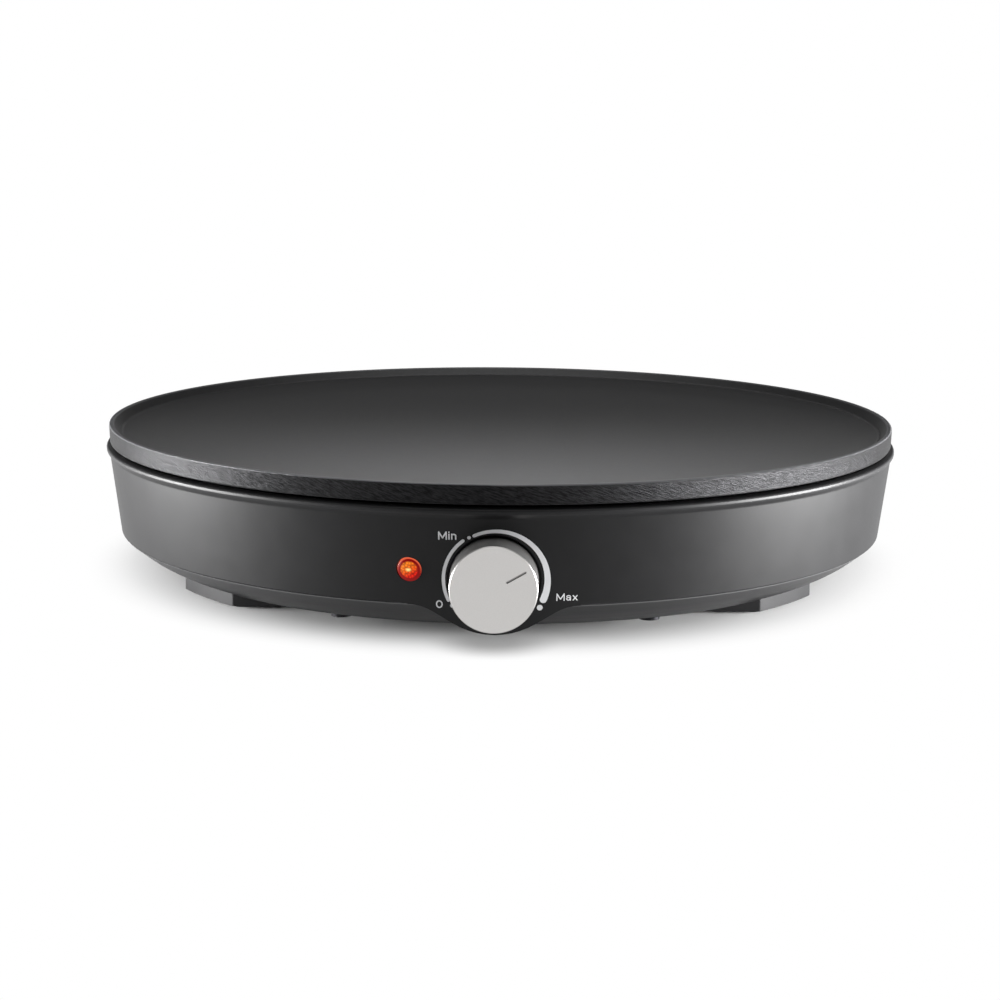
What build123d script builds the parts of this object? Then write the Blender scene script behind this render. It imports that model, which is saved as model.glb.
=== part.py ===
from build123d import *

import os
from math import acos, atan2, cos, radians, sin, sqrt, tan

# Electric crepe maker. Millimetres, +Z up, front -Y, right +X. Every piece is drawn round the
# plate's axis, and carried on export so that the origin is the middle of the footprint, on the
# worktop. Azimuths are degrees from the front towards +X; a reach is a distance from the axis.

# ---------------------------------------------------------------- clearances
SEAT = 0.1          # curved piece lying in or under its seat
RUNNING = 0.05      # radial, spindle in its bearing
SLIDE = 0.1         # radial, pressed or pushed in by hand
HOLE = 0.3          # radial, screw through a clearance hole
THREAD = 0.05       # radial, screw in its own thread
PARTING = 0.3       # moulding against moulding
PAST = 1.0          # how far a cut runs past a face

# ------------------------------------------------------------ griddle plate
plate_d = 300.0         # over the rim
height = 55.0           # worktop to the rim's top
plate_edge_h = 6.7      # outer face of the plate
plate_edge_draft = 0.2
rim_h = 3.2             # rim above the cooking surface
rim_top_w = 1.6
rim_slope_w = 3.0
rim_foot_r = 2.0        # where the rim rises from the surface
plate_edge_r = 0.5      # softened edges of the casting
skirt_in = 9.6          # drip skirt under the plate, mid wall to the plate's edge
skirt_t = 2.0
skirt_h = 4.0
clip_pad_r = 4.0        # cast pads that the straps are screwed to
clip_pad_h = 3.0
clip_pad_offset = 8.5
clip_hole_l = 1.7       # their holes go this far into the plate
clip_screw_l = 1.2      # and their screws this far

# ------------------------------------------------------------------- casing
lip_gap = 1.0           # between the plate's edge and the lip
lip_over = 1.1          # lip's radius beyond the plate's
lip_h = 3.4             # wall's top to the lip's top
lip_flare_h = 1.6       # from the wall out to the lip's full radius
lip_roll_w = 2.4        # rounded top of the lip
lip_roll_h = 0.4
lip_root_r = 1.5        # hollow under the lip
lip_flare_r = 0.8
lip_roll_r = 0.8
casing_edge_r = 0.5     # softened edges of the moulding
lip_w = 1.2             # lip beyond the wall under it
wall_lean = 3.7         # wall's top beyond its lower edge, the crease
crease_z = 14.2
casing_t = 2.4
boss_in = 22.2          # bosses for the base screws, inside the crease
boss_r = 4.5
boss_top_z = 30.0
boss_azimuths = (25, 90, 155, -155, -90, -25)
rib_t = 2.0
rib_h = 9.0
boss_hole_l = 16.0      # end of their tapped hole above the pan's underside

# ----------------------------------------------- tongue of the casing's front
tongue_drop = 9.9       # below the crease
tongue_slope = 31.0     # degrees, straight flank
tongue_tip_r = 26.0
tongue_shoulder_r = 16.0
tongue_half_w = 40.0    # outline carried into the plain wall
tongue_depth = 19.7     # how far its underside reaches inwards

# ----------------------------------------------------------------- base pan
pan_z = 4.4             # underside of the floor
pan_t = 2.0
pan_flat_in = 15.4      # where the floor turns up, inside the crease
band_mid_in = 7.4
band_mid_z = 8.5
band_bulge_r = 30.0
band_step = 0.4         # band's top edge inside the casing's
upstand_h = 3.8
upstand_t = 1.6
upstand_gap = 0.1       # added to the parting inside the wall
vent_count = 12
vent_ring_r = 78.0
vent_l = 22.0
vent_w = 3.0

# --------------------------------------------------------------------- feet
foot_out = 1.7          # outer face beyond the floor's flat
foot_w = 27.2           # between its flanks
foot_l = 31.7           # inner end to the outer face's middle
foot_angle = 38.0       # degrees from +-X to the outer face's middle
foot_z = 0.8            # underside above the worktop
foot_corner_r = 1.2
pad_inset = 2.5
pad_t = 2.0
foot_screw_in = 16.0    # screw from the foot's inner end
foot_boss_r = 4.0
foot_boss_h = 7.0
foot_boss_top_t = 1.0   # left closed over the screw hole
foot_screw_short = 2.0  # screw ends below the boss's top

# ------------------------------------------------------------ dial and knob
knob_z = 23.0           # height of the knob's axis
knob_face_r = 14.2
knob_back_r = 14.5
knob_proud = 16.4       # face beyond the recess floor
knob_chamfer = 0.3
knob_wall = 1.6
knob_face_t = 1.8
knob_gap = 0.8          # knob's back off the recess floor
recess_gap = 0.9        # round the knob
recess_in = 1.8         # recess floor inside the crease's radius
pointer_in = 4.7        # engraved line, from and to the centre
pointer_out = 12.0
pointer_w = 0.7
pointer_depth = 0.9
pointer_rest = 60.0     # degrees clockwise from the top
dial_min = -121.4       # degrees, pointer at 0
dial_max = 124.4        # degrees, pointer at full heat
hub_r = 5.5
insert_disc_t = 3.0
hub_gap = 1.0           # hub's end off the knob's back
knob_rib_t = 1.6
knob_rib_l = 6.0
clip_ring_t = 0.6
clip_ring_w = 1.2
clip_ring_open = 40.0   # degrees
clip_ring_gap = 1.6     # ring off the knob's back

# --------------------------------------------------------------- thermostat
spindle_r = 3.0
spindle_flat = 1.6      # flat of the D from the axis
spindle_flat_l = 12.0
spindle_end_gap = 1.5   # short of the knob's inner face
spindle_hole_gap = 0.7  # round it in the wall
spindle_collar = 1.0    # collar in front of the bearing
spindle_tail_gap = 1.0  # inside the bearing's end
body_corner_r = 1.5     # thermostat and terminal block
body_w = 24.0
body_h = 20.0
body_l = 24.0
bracket_gap = 4.0       # its front face behind the recess's wall
bracket_t = 1.2
bracket_w = 38.0
bracket_h = 14.0
bracket_ear_l = 16.0
bracket_screw_x = 16.2
bracket_boss_r = 3.4
bracket_hole_l = 5.0    # tapped depth in its bosses
bracket_screw_l = 4.4
bracket_hole_gap = 0.5  # round the spindle
stop_well_r = 9.0
stop_well_l = 5.0
stop_lug_r = 7.5
stop_lug_l = 3.4
stop_lug_gap = 0.6      # behind the bracket
stop_fixed_gap = 1.4    # fixed stop off the spindle
stop_fixed_half = 35.0  # degrees, half the fixed stop
stop_spare = 1.0        # degrees left at each end
bearing_l = 11.0
tab_w = 6.3
tab_t = 0.8
tab_l = 6.5
socket_end_l = 2.0      # socket past the tab
barrel_l = 3.0
socket_t = 0.5          # sheet of the push-on sockets
tab_x = 6.0
sensor_x = 8.0
sensor_r = 3.0
sensor_y = (-45.0, 15.0)
sensor_end_r = 0.8
capillary_r = 0.9
capillary_exit_dz = 7.0
capillary_bend_r = 12.0
capillary_run = (-31.0, -11.0)  # its two bends ahead of the bulb
capillary_hole_r = 5.0

# --------------------------------------------- element, shield and its posts
element_r = 95.0        # ring, mid tube
element_tube_r = 3.25
element_gap = 12.0      # degrees, half the open arc on the left
element_bend_r = 9.0
element_leg_l = 4.5
element_pin_l = 2.0
element_pin_r = 1.6
element_clip_count = 5
clip_t = 0.8
clip_w = 10.0
clip_ear_l = 12.0
clip_side_gap = 0.15
clip_crown_gap = 0.05
shield_gap = 11.7       # top of the shield under the plate
shield_t = 0.6
shield_in = 12.2        # inside the crease's radius
shield_rim_h = 6.0
shield_corner_r = 2.0
leg_hole_gap = 1.5      # round the element's legs in the shield
ferrule_hole_gap = 1.2
post_ring_r = 60.0
post_r = 4.5
post_boss_r = 6.0
insulator_r = 7.0
insulator_h = 4.0
earth_y = 68.0
earth_boss_r = 4.5
fuse_x = -26.0
fuse_r = 2.5
fuse_l = 30.0
fuse_wire_r = 0.9
fuse_leg_x = 6.0        # past the sleeve's end
fuse_leg_z = 28.0
ferrule_r = 1.8
ferrule_l = 6.0
fuse_bend_r = 4.0
tag_r = 4.2             # ring of the earth tag
tag_neck_w = 3.0
tag_neck_l = 7.0
tag_barrel_l = 6.0

# --------------------------------------------------------------- pilot lamp
lamp_azimuth = -10.85
lamp_z = 26.0
lens_r = 4.0
lens_dome = 1.0         # dome proud of the wall
lens_flange_r = 5.2
lens_flange_t = 1.2
lens_seat_in = 2.2      # lens seat inside the crease's radius
lamp_socket_l = 7.0
lamp_socket_t = 1.0
holder_l = 16.8
holder_floor_t = 1.5
holder_mouth_l = 6.0    # wider part behind the lens
neon_r = 2.8
neon_l = 12.0
neon_end_r = 1.2

# --------------------------------------------------- terminal block and gland
block_in = 33.6         # middle of the block from the gland's seat
block_size = (34.0, 18.0, 14.0)
block_boss_h = 2.0
block_boss_r = 2.6
block_boss_floor = 0.8  # closed under its screw hole
block_screw_sink = 4.0
block_screw_short = 0.6
pole_pitch = 11.0
pole_dz = 5.0           # bore above the block's foot
pole_r = 2.5
pole_bore_r = 1.5
pole_l = 14.0
pole_screw_pitch = 8.0
pole_screw_l = 7.0
pole_screw_r = 1.3
pole_slot = (0.6, 0.8)  # width and depth of the screwdriver slot
lead_pole_l = 4.0       # lead's end past the middle of its pole
gland_z = 29.0
gland_bore_r = 4.0
gland_neck_r = 6.5
gland_flange_r = 8.5
gland_flange_t = 2.6
gland_nut_r = 8.0
gland_nut_t = 2.0
gland_seat_in = 0.6     # its seat inside the crease's radius
gland_wall = 3.0
gland_pad_w = 1.7       # wall round the recess
gland_pocket_gap = 0.5
lead_r = 1.2
lamp_lead_r = 0.7

# ------------------------------------------------- screws: shank, head, height
M4 = (2.0, 3.75, 2.2)
M3 = (1.5, 2.6, 1.6)
M3_FLAT = (1.5, 3.0, 1.4)
TAPPING = (1.5, 3.6, 2.0)
screw_grip = 8.0        # long screws in the plate
tapping_grip = 14.0
screw_slot_w = 0.8
screw_slot_share = 0.45     # of the head's height
screw_hole_spare = 1.0      # hole beyond the screw's end

# ------------------------------------------------------------ derived levels
plate_r = plate_d / 2
skirt_r = plate_r - skirt_in
lip_r = plate_r + lip_over
wall_top_r = lip_r - lip_w
crease_r = wall_top_r - wall_lean
boss_ring_r = crease_r - boss_in
pan_flat_r = crease_r - pan_flat_in
band_mid_r = crease_r - band_mid_in
foot_r = pan_flat_r + foot_out
shield_r = crease_r - shield_in
surface_z = height - rim_h
plate_under_z = height - plate_edge_h
lip_top_z = plate_under_z - lip_gap
wall_top_z = lip_top_z - lip_h
wall_taper = wall_lean / (wall_top_z - crease_z)
floor_z = pan_z + pan_t
shield_top_z = plate_under_z - shield_gap
shield_z = shield_top_z - shield_t
foot_mid_x = foot_r * cos(radians(foot_angle))
foot_mid_y = foot_r * sin(radians(foot_angle))
foot_in_x = foot_mid_x - foot_l
foot_screw_x = foot_in_x + foot_screw_in
recess_y = crease_r - recess_in
knob_face_y = recess_y + knob_proud
bracket_y = recess_y - casing_t - bracket_gap
lamp_pad_y = crease_r - lens_seat_in
gland_seat_y = crease_r - gland_seat_in
block_y = gland_seat_y - block_in
clip_pad_z = plate_under_z - clip_pad_h
recess_r = knob_back_r + recess_gap
tongue_z = crease_z - tongue_drop
knob_back_y = recess_y + knob_gap
body_front_y = bracket_y - bracket_t
body_back_y = body_front_y - body_l
element_z = plate_under_z - SEAT - element_tube_r
sensor_z = plate_under_z - SEAT - sensor_r
fuse_z = plate_under_z - SEAT - fuse_r
pan_ledge_z = crease_z - SEAT
pole_z = floor_z + block_boss_h + pole_dz
element_leg_z = element_z - element_bend_r - element_leg_l
socket_l = tab_l + socket_end_l + barrel_l


# ------------------------------------------------------------------- helpers
def outline(*corners):
    """Face inside a closed outline of (x, y) or (x, y, corner radius) points."""
    points = [corner[:2] for corner in corners]
    radii = [corner[2] if len(corner) > 2 else 0 for corner in corners]
    return make_face(FilletPolyline(*points, radius=radii, close=True))


def turned(*corners):
    """Solid of revolution about Z; each corner is (radius, height, corner radius)."""
    return revolve(Plane.XZ * outline(*corners), Axis.Z)


def facing(azimuth, z):
    """Plane through the centre line whose Z points outwards; its Y is up."""
    a = radians(azimuth)
    return Plane(origin=(0, 0, z), x_dir=(cos(a), sin(a), 0), z_dir=(sin(a), -cos(a), 0))


def drum(radius, low, high):
    """Cylinder on the local Z axis from low to high."""
    return Pos(0, 0, (low + high) / 2) * Cylinder(radius, abs(high - low))


def tube(outer, inner, low, high):
    """Hollow cylinder on the local Z axis from low to high."""
    return drum(outer, low, high) - drum(inner, low, high)


def block(x, y, z):
    """Box between two limits along each axis."""
    size = [high - low for low, high in (x, y, z)]
    centre = [(high + low) / 2 for low, high in (x, y, z)]
    return Pos(*centre) * Box(*size)


def at(x, y, shape):
    """The same shape carried to (x, y)."""
    return Pos(x, y, 0) * shape


def ring_points(radius, angles):
    """(x, y) at each angle in degrees, counted from +X."""
    return [(radius * cos(radians(a)), radius * sin(radians(a))) for a in angles]


def azimuth_points(radius, azimuths):
    """(x, y) at each azimuth in degrees, counted from the front."""
    return [(radius * sin(radians(a)), -radius * cos(radians(a))) for a in azimuths]


def wall_r(z):
    """Outer radius of the tapered wall at height z."""
    return crease_r + (z - crease_z) * wall_taper


def screw(kind, seat_z, length):
    """Screw pointing up, with its head under seat_z and its shank above it."""
    shank_r, head_r, head_h = kind
    head = drum(head_r, seat_z - head_h, seat_z)
    slot_top = seat_z - head_h * (1 - screw_slot_share)
    slot = block((-head_r, head_r), (-screw_slot_w / 2, screw_slot_w / 2), (seat_z - head_h, slot_top))
    return head - slot + drum(shank_r, seat_z, seat_z + length)


def group(solids):
    """Several separate solids as one node."""
    return Compound(children=[Solid(solid.solid().wrapped) for solid in solids])


def wire_run(points, radius, bends):
    """Round wire along straight runs joined by tangent arcs of the given radii."""
    path = FilletPolyline(*points, radius=bends)
    start = Plane(origin=path @ 0, z_dir=path % 0)
    return sweep(start * Circle(radius), path=path)


def bend_radii(points, most):
    """Largest tangent arc at each inner point, up to most."""
    radii = []
    for before, here, after in zip(points, points[1:], points[2:]):
        a = Vector(*here) - Vector(*before)
        b = Vector(*after) - Vector(*here)
        half_turn = radians(a.get_angle(b)) / 2
        radii.append(min(most, 0.45 * min(a.length, b.length) / tan(half_turn)))
    return radii


post_xy = ring_points(post_ring_r, (45, 135, 225, 315))
clip_angles = [360 / element_clip_count * i for i in range(element_clip_count)]
base_screw_xy = azimuth_points(boss_ring_r, boss_azimuths)
foot_signs = {
    "front_left": (-1, -1),
    "front_right": (1, -1),
    "rear_left": (-1, 1),
    "rear_right": (1, 1),
}
clip_xy = ring_points(element_r, clip_angles)
strap_seats = [Pos(*xy, 0) * Rot(0, 0, a) for xy, a in zip(clip_xy, clip_angles)]
sensor_seat = Pos(sensor_x, sum(sensor_y) / 2, 0)
fuse_seat = Pos(fuse_x, 0, 0)
all_seats = strap_seats + [sensor_seat, fuse_seat]


# ------------------------------------------------------------- griddle plate
def griddle_plate():
    """Cast plate: flat cooking surface, raised rim, drip skirt, bosses and pads."""
    half_skirt = skirt_t / 2
    plate = turned(
        (0, surface_z),
        (plate_r - rim_top_w - rim_slope_w, surface_z, rim_foot_r),
        (plate_r - rim_top_w, height, plate_edge_r),
        (plate_r, height, plate_edge_r),
        (plate_r - plate_edge_draft, plate_under_z, plate_edge_r),
        (skirt_r + half_skirt, plate_under_z),
        (skirt_r + half_skirt, plate_under_z - skirt_h, plate_edge_r),
        (skirt_r - half_skirt, plate_under_z - skirt_h, plate_edge_r),
        (skirt_r - half_skirt, plate_under_z),
        (0, plate_under_z),
    )
    thread_r = M4[0] + THREAD
    for x, y in post_xy:
        plate += at(x, y, drum(post_boss_r, shield_top_z, plate_under_z))
        plate -= at(x, y, drum(thread_r, shield_top_z, shield_top_z + screw_grip + screw_hole_spare))
    plate += at(0, earth_y, drum(earth_boss_r, shield_top_z, plate_under_z))
    plate -= at(0, earth_y, drum(thread_r, shield_top_z, shield_top_z + screw_grip))
    for seat in all_seats:
        for side in (-1, 1):
            pad = Pos(side * clip_pad_offset, 0, 0) * drum(clip_pad_r, clip_pad_z, plate_under_z)
            plate += seat * pad
    for seat in all_seats:
        for side in (-1, 1):
            hole = drum(M3[0] + THREAD, clip_pad_z, plate_under_z + clip_hole_l)
            plate -= seat * Pos(side * clip_pad_offset, 0, 0) * hole
    return plate


def strap(tube_r, tube_bottom_z):
    """Hat-shaped strap under a tube, its ears flat against the cast pads."""
    inner = tube_r + clip_side_gap
    outer = inner + clip_t
    crown_top = tube_bottom_z - clip_crown_gap
    crown_low = crown_top - clip_t
    ear_low = clip_pad_z - clip_t
    profile = outline(
        (-clip_ear_l, ear_low), (-outer, ear_low), (-outer, crown_low), (outer, crown_low),
        (outer, ear_low), (clip_ear_l, ear_low), (clip_ear_l, clip_pad_z), (inner, clip_pad_z),
        (inner, crown_top), (-inner, crown_top), (-inner, clip_pad_z), (-clip_ear_l, clip_pad_z),
    )
    shape = extrude(Plane.XZ * profile, clip_w / 2, both=True)
    for side in (-1, 1):
        hole = drum(M3[0] + HOLE, ear_low - PAST, clip_pad_z + PAST)
        shape -= Pos(side * clip_pad_offset, 0, 0) * hole
    return shape


def element_clips():
    """Straps that hold the element against the plate."""
    return group([seat * strap(element_tube_r, element_z - element_tube_r) for seat in strap_seats])


def sensor_clip():
    """Strap that holds the thermostat's bulb."""
    return sensor_seat * strap(sensor_r, sensor_z - sensor_r)


def fuse_clip():
    """Strap that holds the fuse."""
    return fuse_seat * strap(fuse_r, fuse_z - fuse_r)


def clip_screws():
    """A screw for each ear of each strap."""
    one = screw(M3, clip_pad_z - clip_t, plate_under_z + clip_screw_l - clip_pad_z + clip_t)
    return group([seat * Pos(side * clip_pad_offset, 0, 0) * one for seat in all_seats for side in (-1, 1)])


# ------------------------------------------------------------------- element
def push_tab(low):
    """Flat tab for a push-on socket, standing on the local Z axis from low."""
    return block((-tab_t / 2, tab_t / 2), (-tab_w / 2, tab_w / 2), (low, low + tab_l))


def element_end(side):
    """Angle in degrees of one end of the ring, on the left."""
    return 180 + side * element_gap


def element_leg(side):
    """Location of one leg: its axis is Z, its X points back along the ring."""
    a = radians(element_end(side))
    x = element_r * cos(a)
    y = element_r * sin(a)
    back = Vector(-sin(a), cos(a), 0) * side
    foot = Vector(x, y, 0) - back * element_bend_r
    return Plane(origin=foot, x_dir=back, z_dir=(0, 0, 1))


def heating_element():
    """Tubular ring with both ends bent down through the shield."""
    section = Plane.XZ * (Pos(element_r, element_z) * Circle(element_tube_r))
    ring = revolve(section, Axis.Z, 360 - 2 * element_gap)
    ring = Rot(0, 0, element_end(1)) * ring
    for side in (-1, 1):
        corner = Pos(-element_bend_r, 0, 0) * Circle(element_tube_r)
        bend = revolve(corner, Axis.Y, 90)
        leg = drum(element_tube_r, -element_leg_l, 0)
        lift = element_z - element_bend_r
        ring += element_leg(side) * Pos(0, 0, lift) * (Pos(element_bend_r, 0, 0) * bend)
        ring += element_leg(side) * Pos(0, 0, lift) * leg
    return ring


def element_terminals():
    """Cold pins and push-on tabs below the element's legs."""
    pins = []
    for side in (-1, 1):
        pin = drum(element_pin_r, -element_pin_l, 0) + push_tab(-element_pin_l - tab_l)
        pins.append(element_leg(side) * Pos(0, 0, element_leg_z) * pin)
    return group(pins)


# -------------------------------------------------------------------- shield
def heat_shield():
    """Pressed dish with holes for the posts, the earth screw, legs and wires."""
    shield = turned(
        (0, shield_z), (shield_r, shield_z, shield_corner_r + shield_t),
        (shield_r, shield_z + shield_rim_h), (shield_r - shield_t, shield_z + shield_rim_h),
        (shield_r - shield_t, shield_top_z, shield_corner_r),
        (0, shield_top_z),
    )
    low, high = shield_z - PAST, shield_top_z + PAST
    for x, y in post_xy + [(0, earth_y)]:
        shield -= at(x, y, drum(M4[0] + HOLE, low, high))
    for side in (-1, 1):
        shield -= element_leg(side) * drum(element_tube_r + leg_hole_gap, low, high)
        leg_y = side * (fuse_l / 2 + fuse_leg_x)
        shield -= at(fuse_x, leg_y, drum(ferrule_r + ferrule_hole_gap, low, high))
    shield -= at(sensor_x, capillary_hole_y(), drum(capillary_hole_r, low, high))
    return shield


def support_posts():
    """Tubes between the insulators and the shield."""
    post = tube(post_r, M4[0] + HOLE, floor_z + insulator_h, shield_z)
    return group([at(x, y, post) for x, y in post_xy])


def post_insulators():
    """Ceramic washers between the pan and the posts."""
    washer = tube(insulator_r, M4[0] + HOLE, floor_z, floor_z + insulator_h)
    return group([at(x, y, washer) for x, y in post_xy])


def plate_screws():
    """Long screws up through pan, insulator, post and shield into the plate."""
    one = screw(M4, pan_z, shield_top_z + screw_grip - pan_z)
    return group([at(x, y, one) for x, y in post_xy])


# -------------------------------------------------------------------- casing
def tongue_face(drop):
    """Front view of the tongue's outline, lowered by drop; local X right, Y up."""
    slope = radians(tongue_slope)
    apex = tongue_z - tongue_tip_r * (1 / cos(slope) - 1)
    half_w = (crease_z - apex) / tan(slope)
    top = crease_z + upstand_h + 2
    return outline(
        (-tongue_half_w, crease_z - drop), (-half_w, crease_z - drop, tongue_shoulder_r),
        (0, apex - drop, tongue_tip_r), (half_w, crease_z - drop, tongue_shoulder_r),
        (tongue_half_w, crease_z - drop), (tongue_half_w, top), (-tongue_half_w, top),
    )


def tongue_span():
    """Half width at which the outline rejoins the crease."""
    slope = radians(tongue_slope)
    apex = tongue_z - tongue_tip_r * (1 / cos(slope) - 1)
    return (crease_z - apex) / tan(slope) + tongue_shoulder_r * tan(slope / 2)


def tongue_prism(drop, near, far, half_w):
    """The tongue's outline as a bar between two reaches, cut to a half width."""
    bar = extrude(facing(0, 0) * Pos(0, 0, near) * tongue_face(drop), far - near)
    return bar & block((-half_w, half_w), (-far, -near), (-1, height))


def cone(inset, low, high):
    """The tapered wall's envelope between two heights, inset from its outside."""
    return turned((0, low), (wall_r(low) - inset, low), (wall_r(high) - inset, high), (0, high))


def casing():
    """Round wall with a rolled lip, the knob's recess and tongue, and its bosses."""
    inset = casing_t / cos(atan2(wall_top_r - crease_r, wall_top_z - crease_z))
    shell = turned(
        (crease_r - inset, crease_z), (crease_r, crease_z, casing_edge_r),
        (wall_top_r, wall_top_z, lip_root_r), (lip_r, wall_top_z + lip_flare_h, lip_flare_r),
        (lip_r, lip_top_z - lip_roll_h, lip_roll_r), (lip_r - lip_roll_w, lip_top_z, casing_edge_r),
        (wall_top_r - inset, lip_top_z), (wall_top_r - inset, wall_top_z),
    )
    envelope = cone(0, 0, wall_top_z)
    span = tongue_span()
    inward = crease_r - tongue_depth
    skin = cone(0, 0, crease_z + PAST) - cone(inset, 0, crease_z + PAST)
    front = skin & tongue_prism(0, inward, lip_r, span)
    reach = inward - PAST
    under = tongue_prism(0, reach, lip_r, span) - tongue_prism(-pan_t, reach, lip_r, span)
    under = under & cone(0, 0, wall_top_z) & block((-span, span), (-lip_r, -inward), (0, height))
    shell += front + under

    front_face = facing(0, knob_z)
    shell += front_face * drum(recess_r + casing_t, recess_y - casing_t, lip_r) & envelope
    for side in (-1, 1):
        post = Pos(side * bracket_screw_x, 0, 0) * drum(bracket_boss_r, bracket_y, lip_r)
        shell += (front_face * post) & envelope
    lamp = facing(lamp_azimuth, lamp_z)
    socket_r = lens_flange_r + SLIDE + lamp_socket_t
    shell += (lamp * drum(socket_r, lamp_pad_y - lamp_socket_l, lip_r)) & envelope
    back = facing(180, gland_z)
    shell += (back * drum(gland_flange_r + gland_pad_w, gland_seat_y - gland_wall, lip_r)) & envelope

    for azimuth, (x, y) in zip(boss_azimuths, base_screw_xy):
        shell += at(x, y, drum(boss_r, floor_z, boss_top_z))
        rib = block(
            (boss_ring_r, crease_r), (-rib_t / 2, rib_t / 2), (boss_top_z - rib_h, boss_top_z)
        )
        shell += Rot(0, 0, azimuth - 90) * rib

    shell -= front_face * drum(recess_r, recess_y, lip_r + PAST)
    shell -= front_face * drum(spindle_r + spindle_hole_gap, recess_y - casing_t - PAST, recess_y + PAST)
    for side in (-1, 1):
        hole = drum(M3[0] + THREAD, bracket_y - PAST, bracket_y + bracket_hole_l)
        shell -= front_face * Pos(side * bracket_screw_x, 0, 0) * hole
    shell -= lamp * drum(lens_r + SLIDE, lamp_pad_y - PAST, lip_r)
    shell -= lamp * drum(lens_flange_r + SLIDE, lamp_pad_y - lamp_socket_l - PAST, lamp_pad_y)
    shell -= back * drum(gland_flange_r + gland_pocket_gap, gland_seat_y, lip_r)
    shell -= back * drum(gland_neck_r + SLIDE, gland_seat_y - gland_wall - PAST, gland_seat_y + PAST)
    for x, y in base_screw_xy:
        shell -= at(x, y, drum(TAPPING[0] + THREAD, floor_z, pan_z + boss_hole_l))
    return shell


# ------------------------------------------------------------------ base pan
def pan_envelope():
    """Everything inside the pan's outer surface, up to its ledge."""
    return turned(
        (0, pan_z), (pan_flat_r, pan_z), (band_mid_r, band_mid_z, band_bulge_r),
        (crease_r - band_step, pan_ledge_z), (0, pan_ledge_z),
    )


def base_pan():
    """Lower shell: floor, chamfered band, upstand inside the wall, bosses, vents."""
    upstand_r = crease_r - casing_t - PARTING - upstand_gap
    rise = pan_t / cos(atan2(pan_ledge_z - pan_z, crease_r - band_step - pan_flat_r))
    top = crease_z + upstand_h
    band_angle = atan2(pan_ledge_z - band_mid_z, crease_r - band_step - band_mid_r)
    inner_r = upstand_r - upstand_t
    inner_z = band_mid_z + rise + (inner_r - band_mid_r) * tan(band_angle)
    pan = pan_envelope() + drum(upstand_r, pan_ledge_z, top)
    pan -= turned(
        (0, floor_z), (pan_flat_r - pan_t / 2, floor_z), (band_mid_r, band_mid_z + rise),
        (inner_r, inner_z), (inner_r, top), (0, top),
    )
    for sx, sy in foot_signs.values():
        x, y = foot_screw_x * sx, foot_mid_y * sy
        pan += at(x, y, drum(foot_boss_r, floor_z, floor_z + foot_boss_h))
        pan -= at(x, y, drum(M3[0] + THREAD, pan_z, floor_z + foot_boss_h - foot_boss_top_t))
    for side in (-1, 1):
        x = side * pole_pitch / 2
        pan += at(x, block_y, drum(block_boss_r, floor_z, floor_z + block_boss_h))
        pan -= at(x, block_y, drum(M3[0] + THREAD, pan_z + block_boss_floor, floor_z + block_boss_h))
    for x, y in base_screw_xy:
        pan -= at(x, y, drum(TAPPING[0] + HOLE, pan_z - PAST, floor_z + PAST))
    for x, y in post_xy:
        pan -= at(x, y, drum(M4[0] + HOLE, pan_z - PAST, floor_z + PAST))
    for i in range(vent_count):
        slot = extrude(SlotOverall(vent_l, vent_w), floor_z + PAST)
        pan -= Rot(0, 0, 360 / vent_count * (i + 0.5)) * Pos(vent_ring_r, 0, 0) * slot
    pan -= tongue_prism(PARTING, crease_r - tongue_depth - PARTING, lip_r, tongue_span() + PARTING)
    return pan


# ---------------------------------------------------------------------- feet
def foot_plan(inset):
    """Plan of the front right foot, inset all round."""
    mid_y = foot_mid_y
    low_y, high_y = mid_y - foot_w / 2 + inset, mid_y + foot_w / 2 - inset
    r = foot_r - inset
    near_x = sqrt(r ** 2 - low_y ** 2)
    far_x = sqrt(r ** 2 - high_y ** 2)
    inner = foot_in_x + inset
    edge = Line((inner, -low_y), (near_x, -low_y))
    edge += ThreePointArc((near_x, -low_y), (sqrt(r ** 2 - mid_y ** 2), -mid_y), (far_x, -high_y))
    edge += Polyline((far_x, -high_y), (inner, -high_y), (inner, -low_y))
    return make_face(edge)


def placed(shape, signs):
    """A front right piece mirrored into its own corner."""
    if signs[0] < 0:
        shape = mirror(shape, Plane.YZ)
    if signs[1] > 0:
        shape = mirror(shape, Plane.XZ)
    return shape


def foot():
    """Front right foot, cut to the underside of the pan and recessed for its pad."""
    body = extrude(Pos(0, 0, foot_z) * foot_plan(0), band_mid_z - foot_z)
    body = fillet(body.edges().filter_by(Axis.Z), foot_corner_r)
    body -= pan_envelope()
    body -= extrude(foot_plan(pad_inset), pad_t)
    body -= at(foot_screw_x, -foot_mid_y, drum(M3_FLAT[1] + SLIDE, 0, pad_t + M3_FLAT[2]))
    body -= at(foot_screw_x, -foot_mid_y, drum(M3[0] + HOLE, 0, pan_z + PAST))
    return body


def foot_pad():
    """Front right rubber pad."""
    pad = extrude(foot_plan(pad_inset + SLIDE), pad_t)
    return fillet(pad.edges().filter_by(Axis.Z), foot_corner_r)


def foot_screws():
    """Flat-headed screws from the pad's recess up into the pan's bosses."""
    seat = pad_t + M3_FLAT[2]
    one = screw(M3_FLAT, seat, floor_z + foot_boss_h - foot_screw_short - seat)
    return group([at(foot_screw_x * sx, foot_mid_y * sy, one) for sx, sy in foot_signs.values()])


def base_screws():
    """Tapping screws from the pan's floor into the casing's bosses."""
    return group([at(x, y, screw(TAPPING, pan_z, tapping_grip)) for x, y in base_screw_xy])


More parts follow.
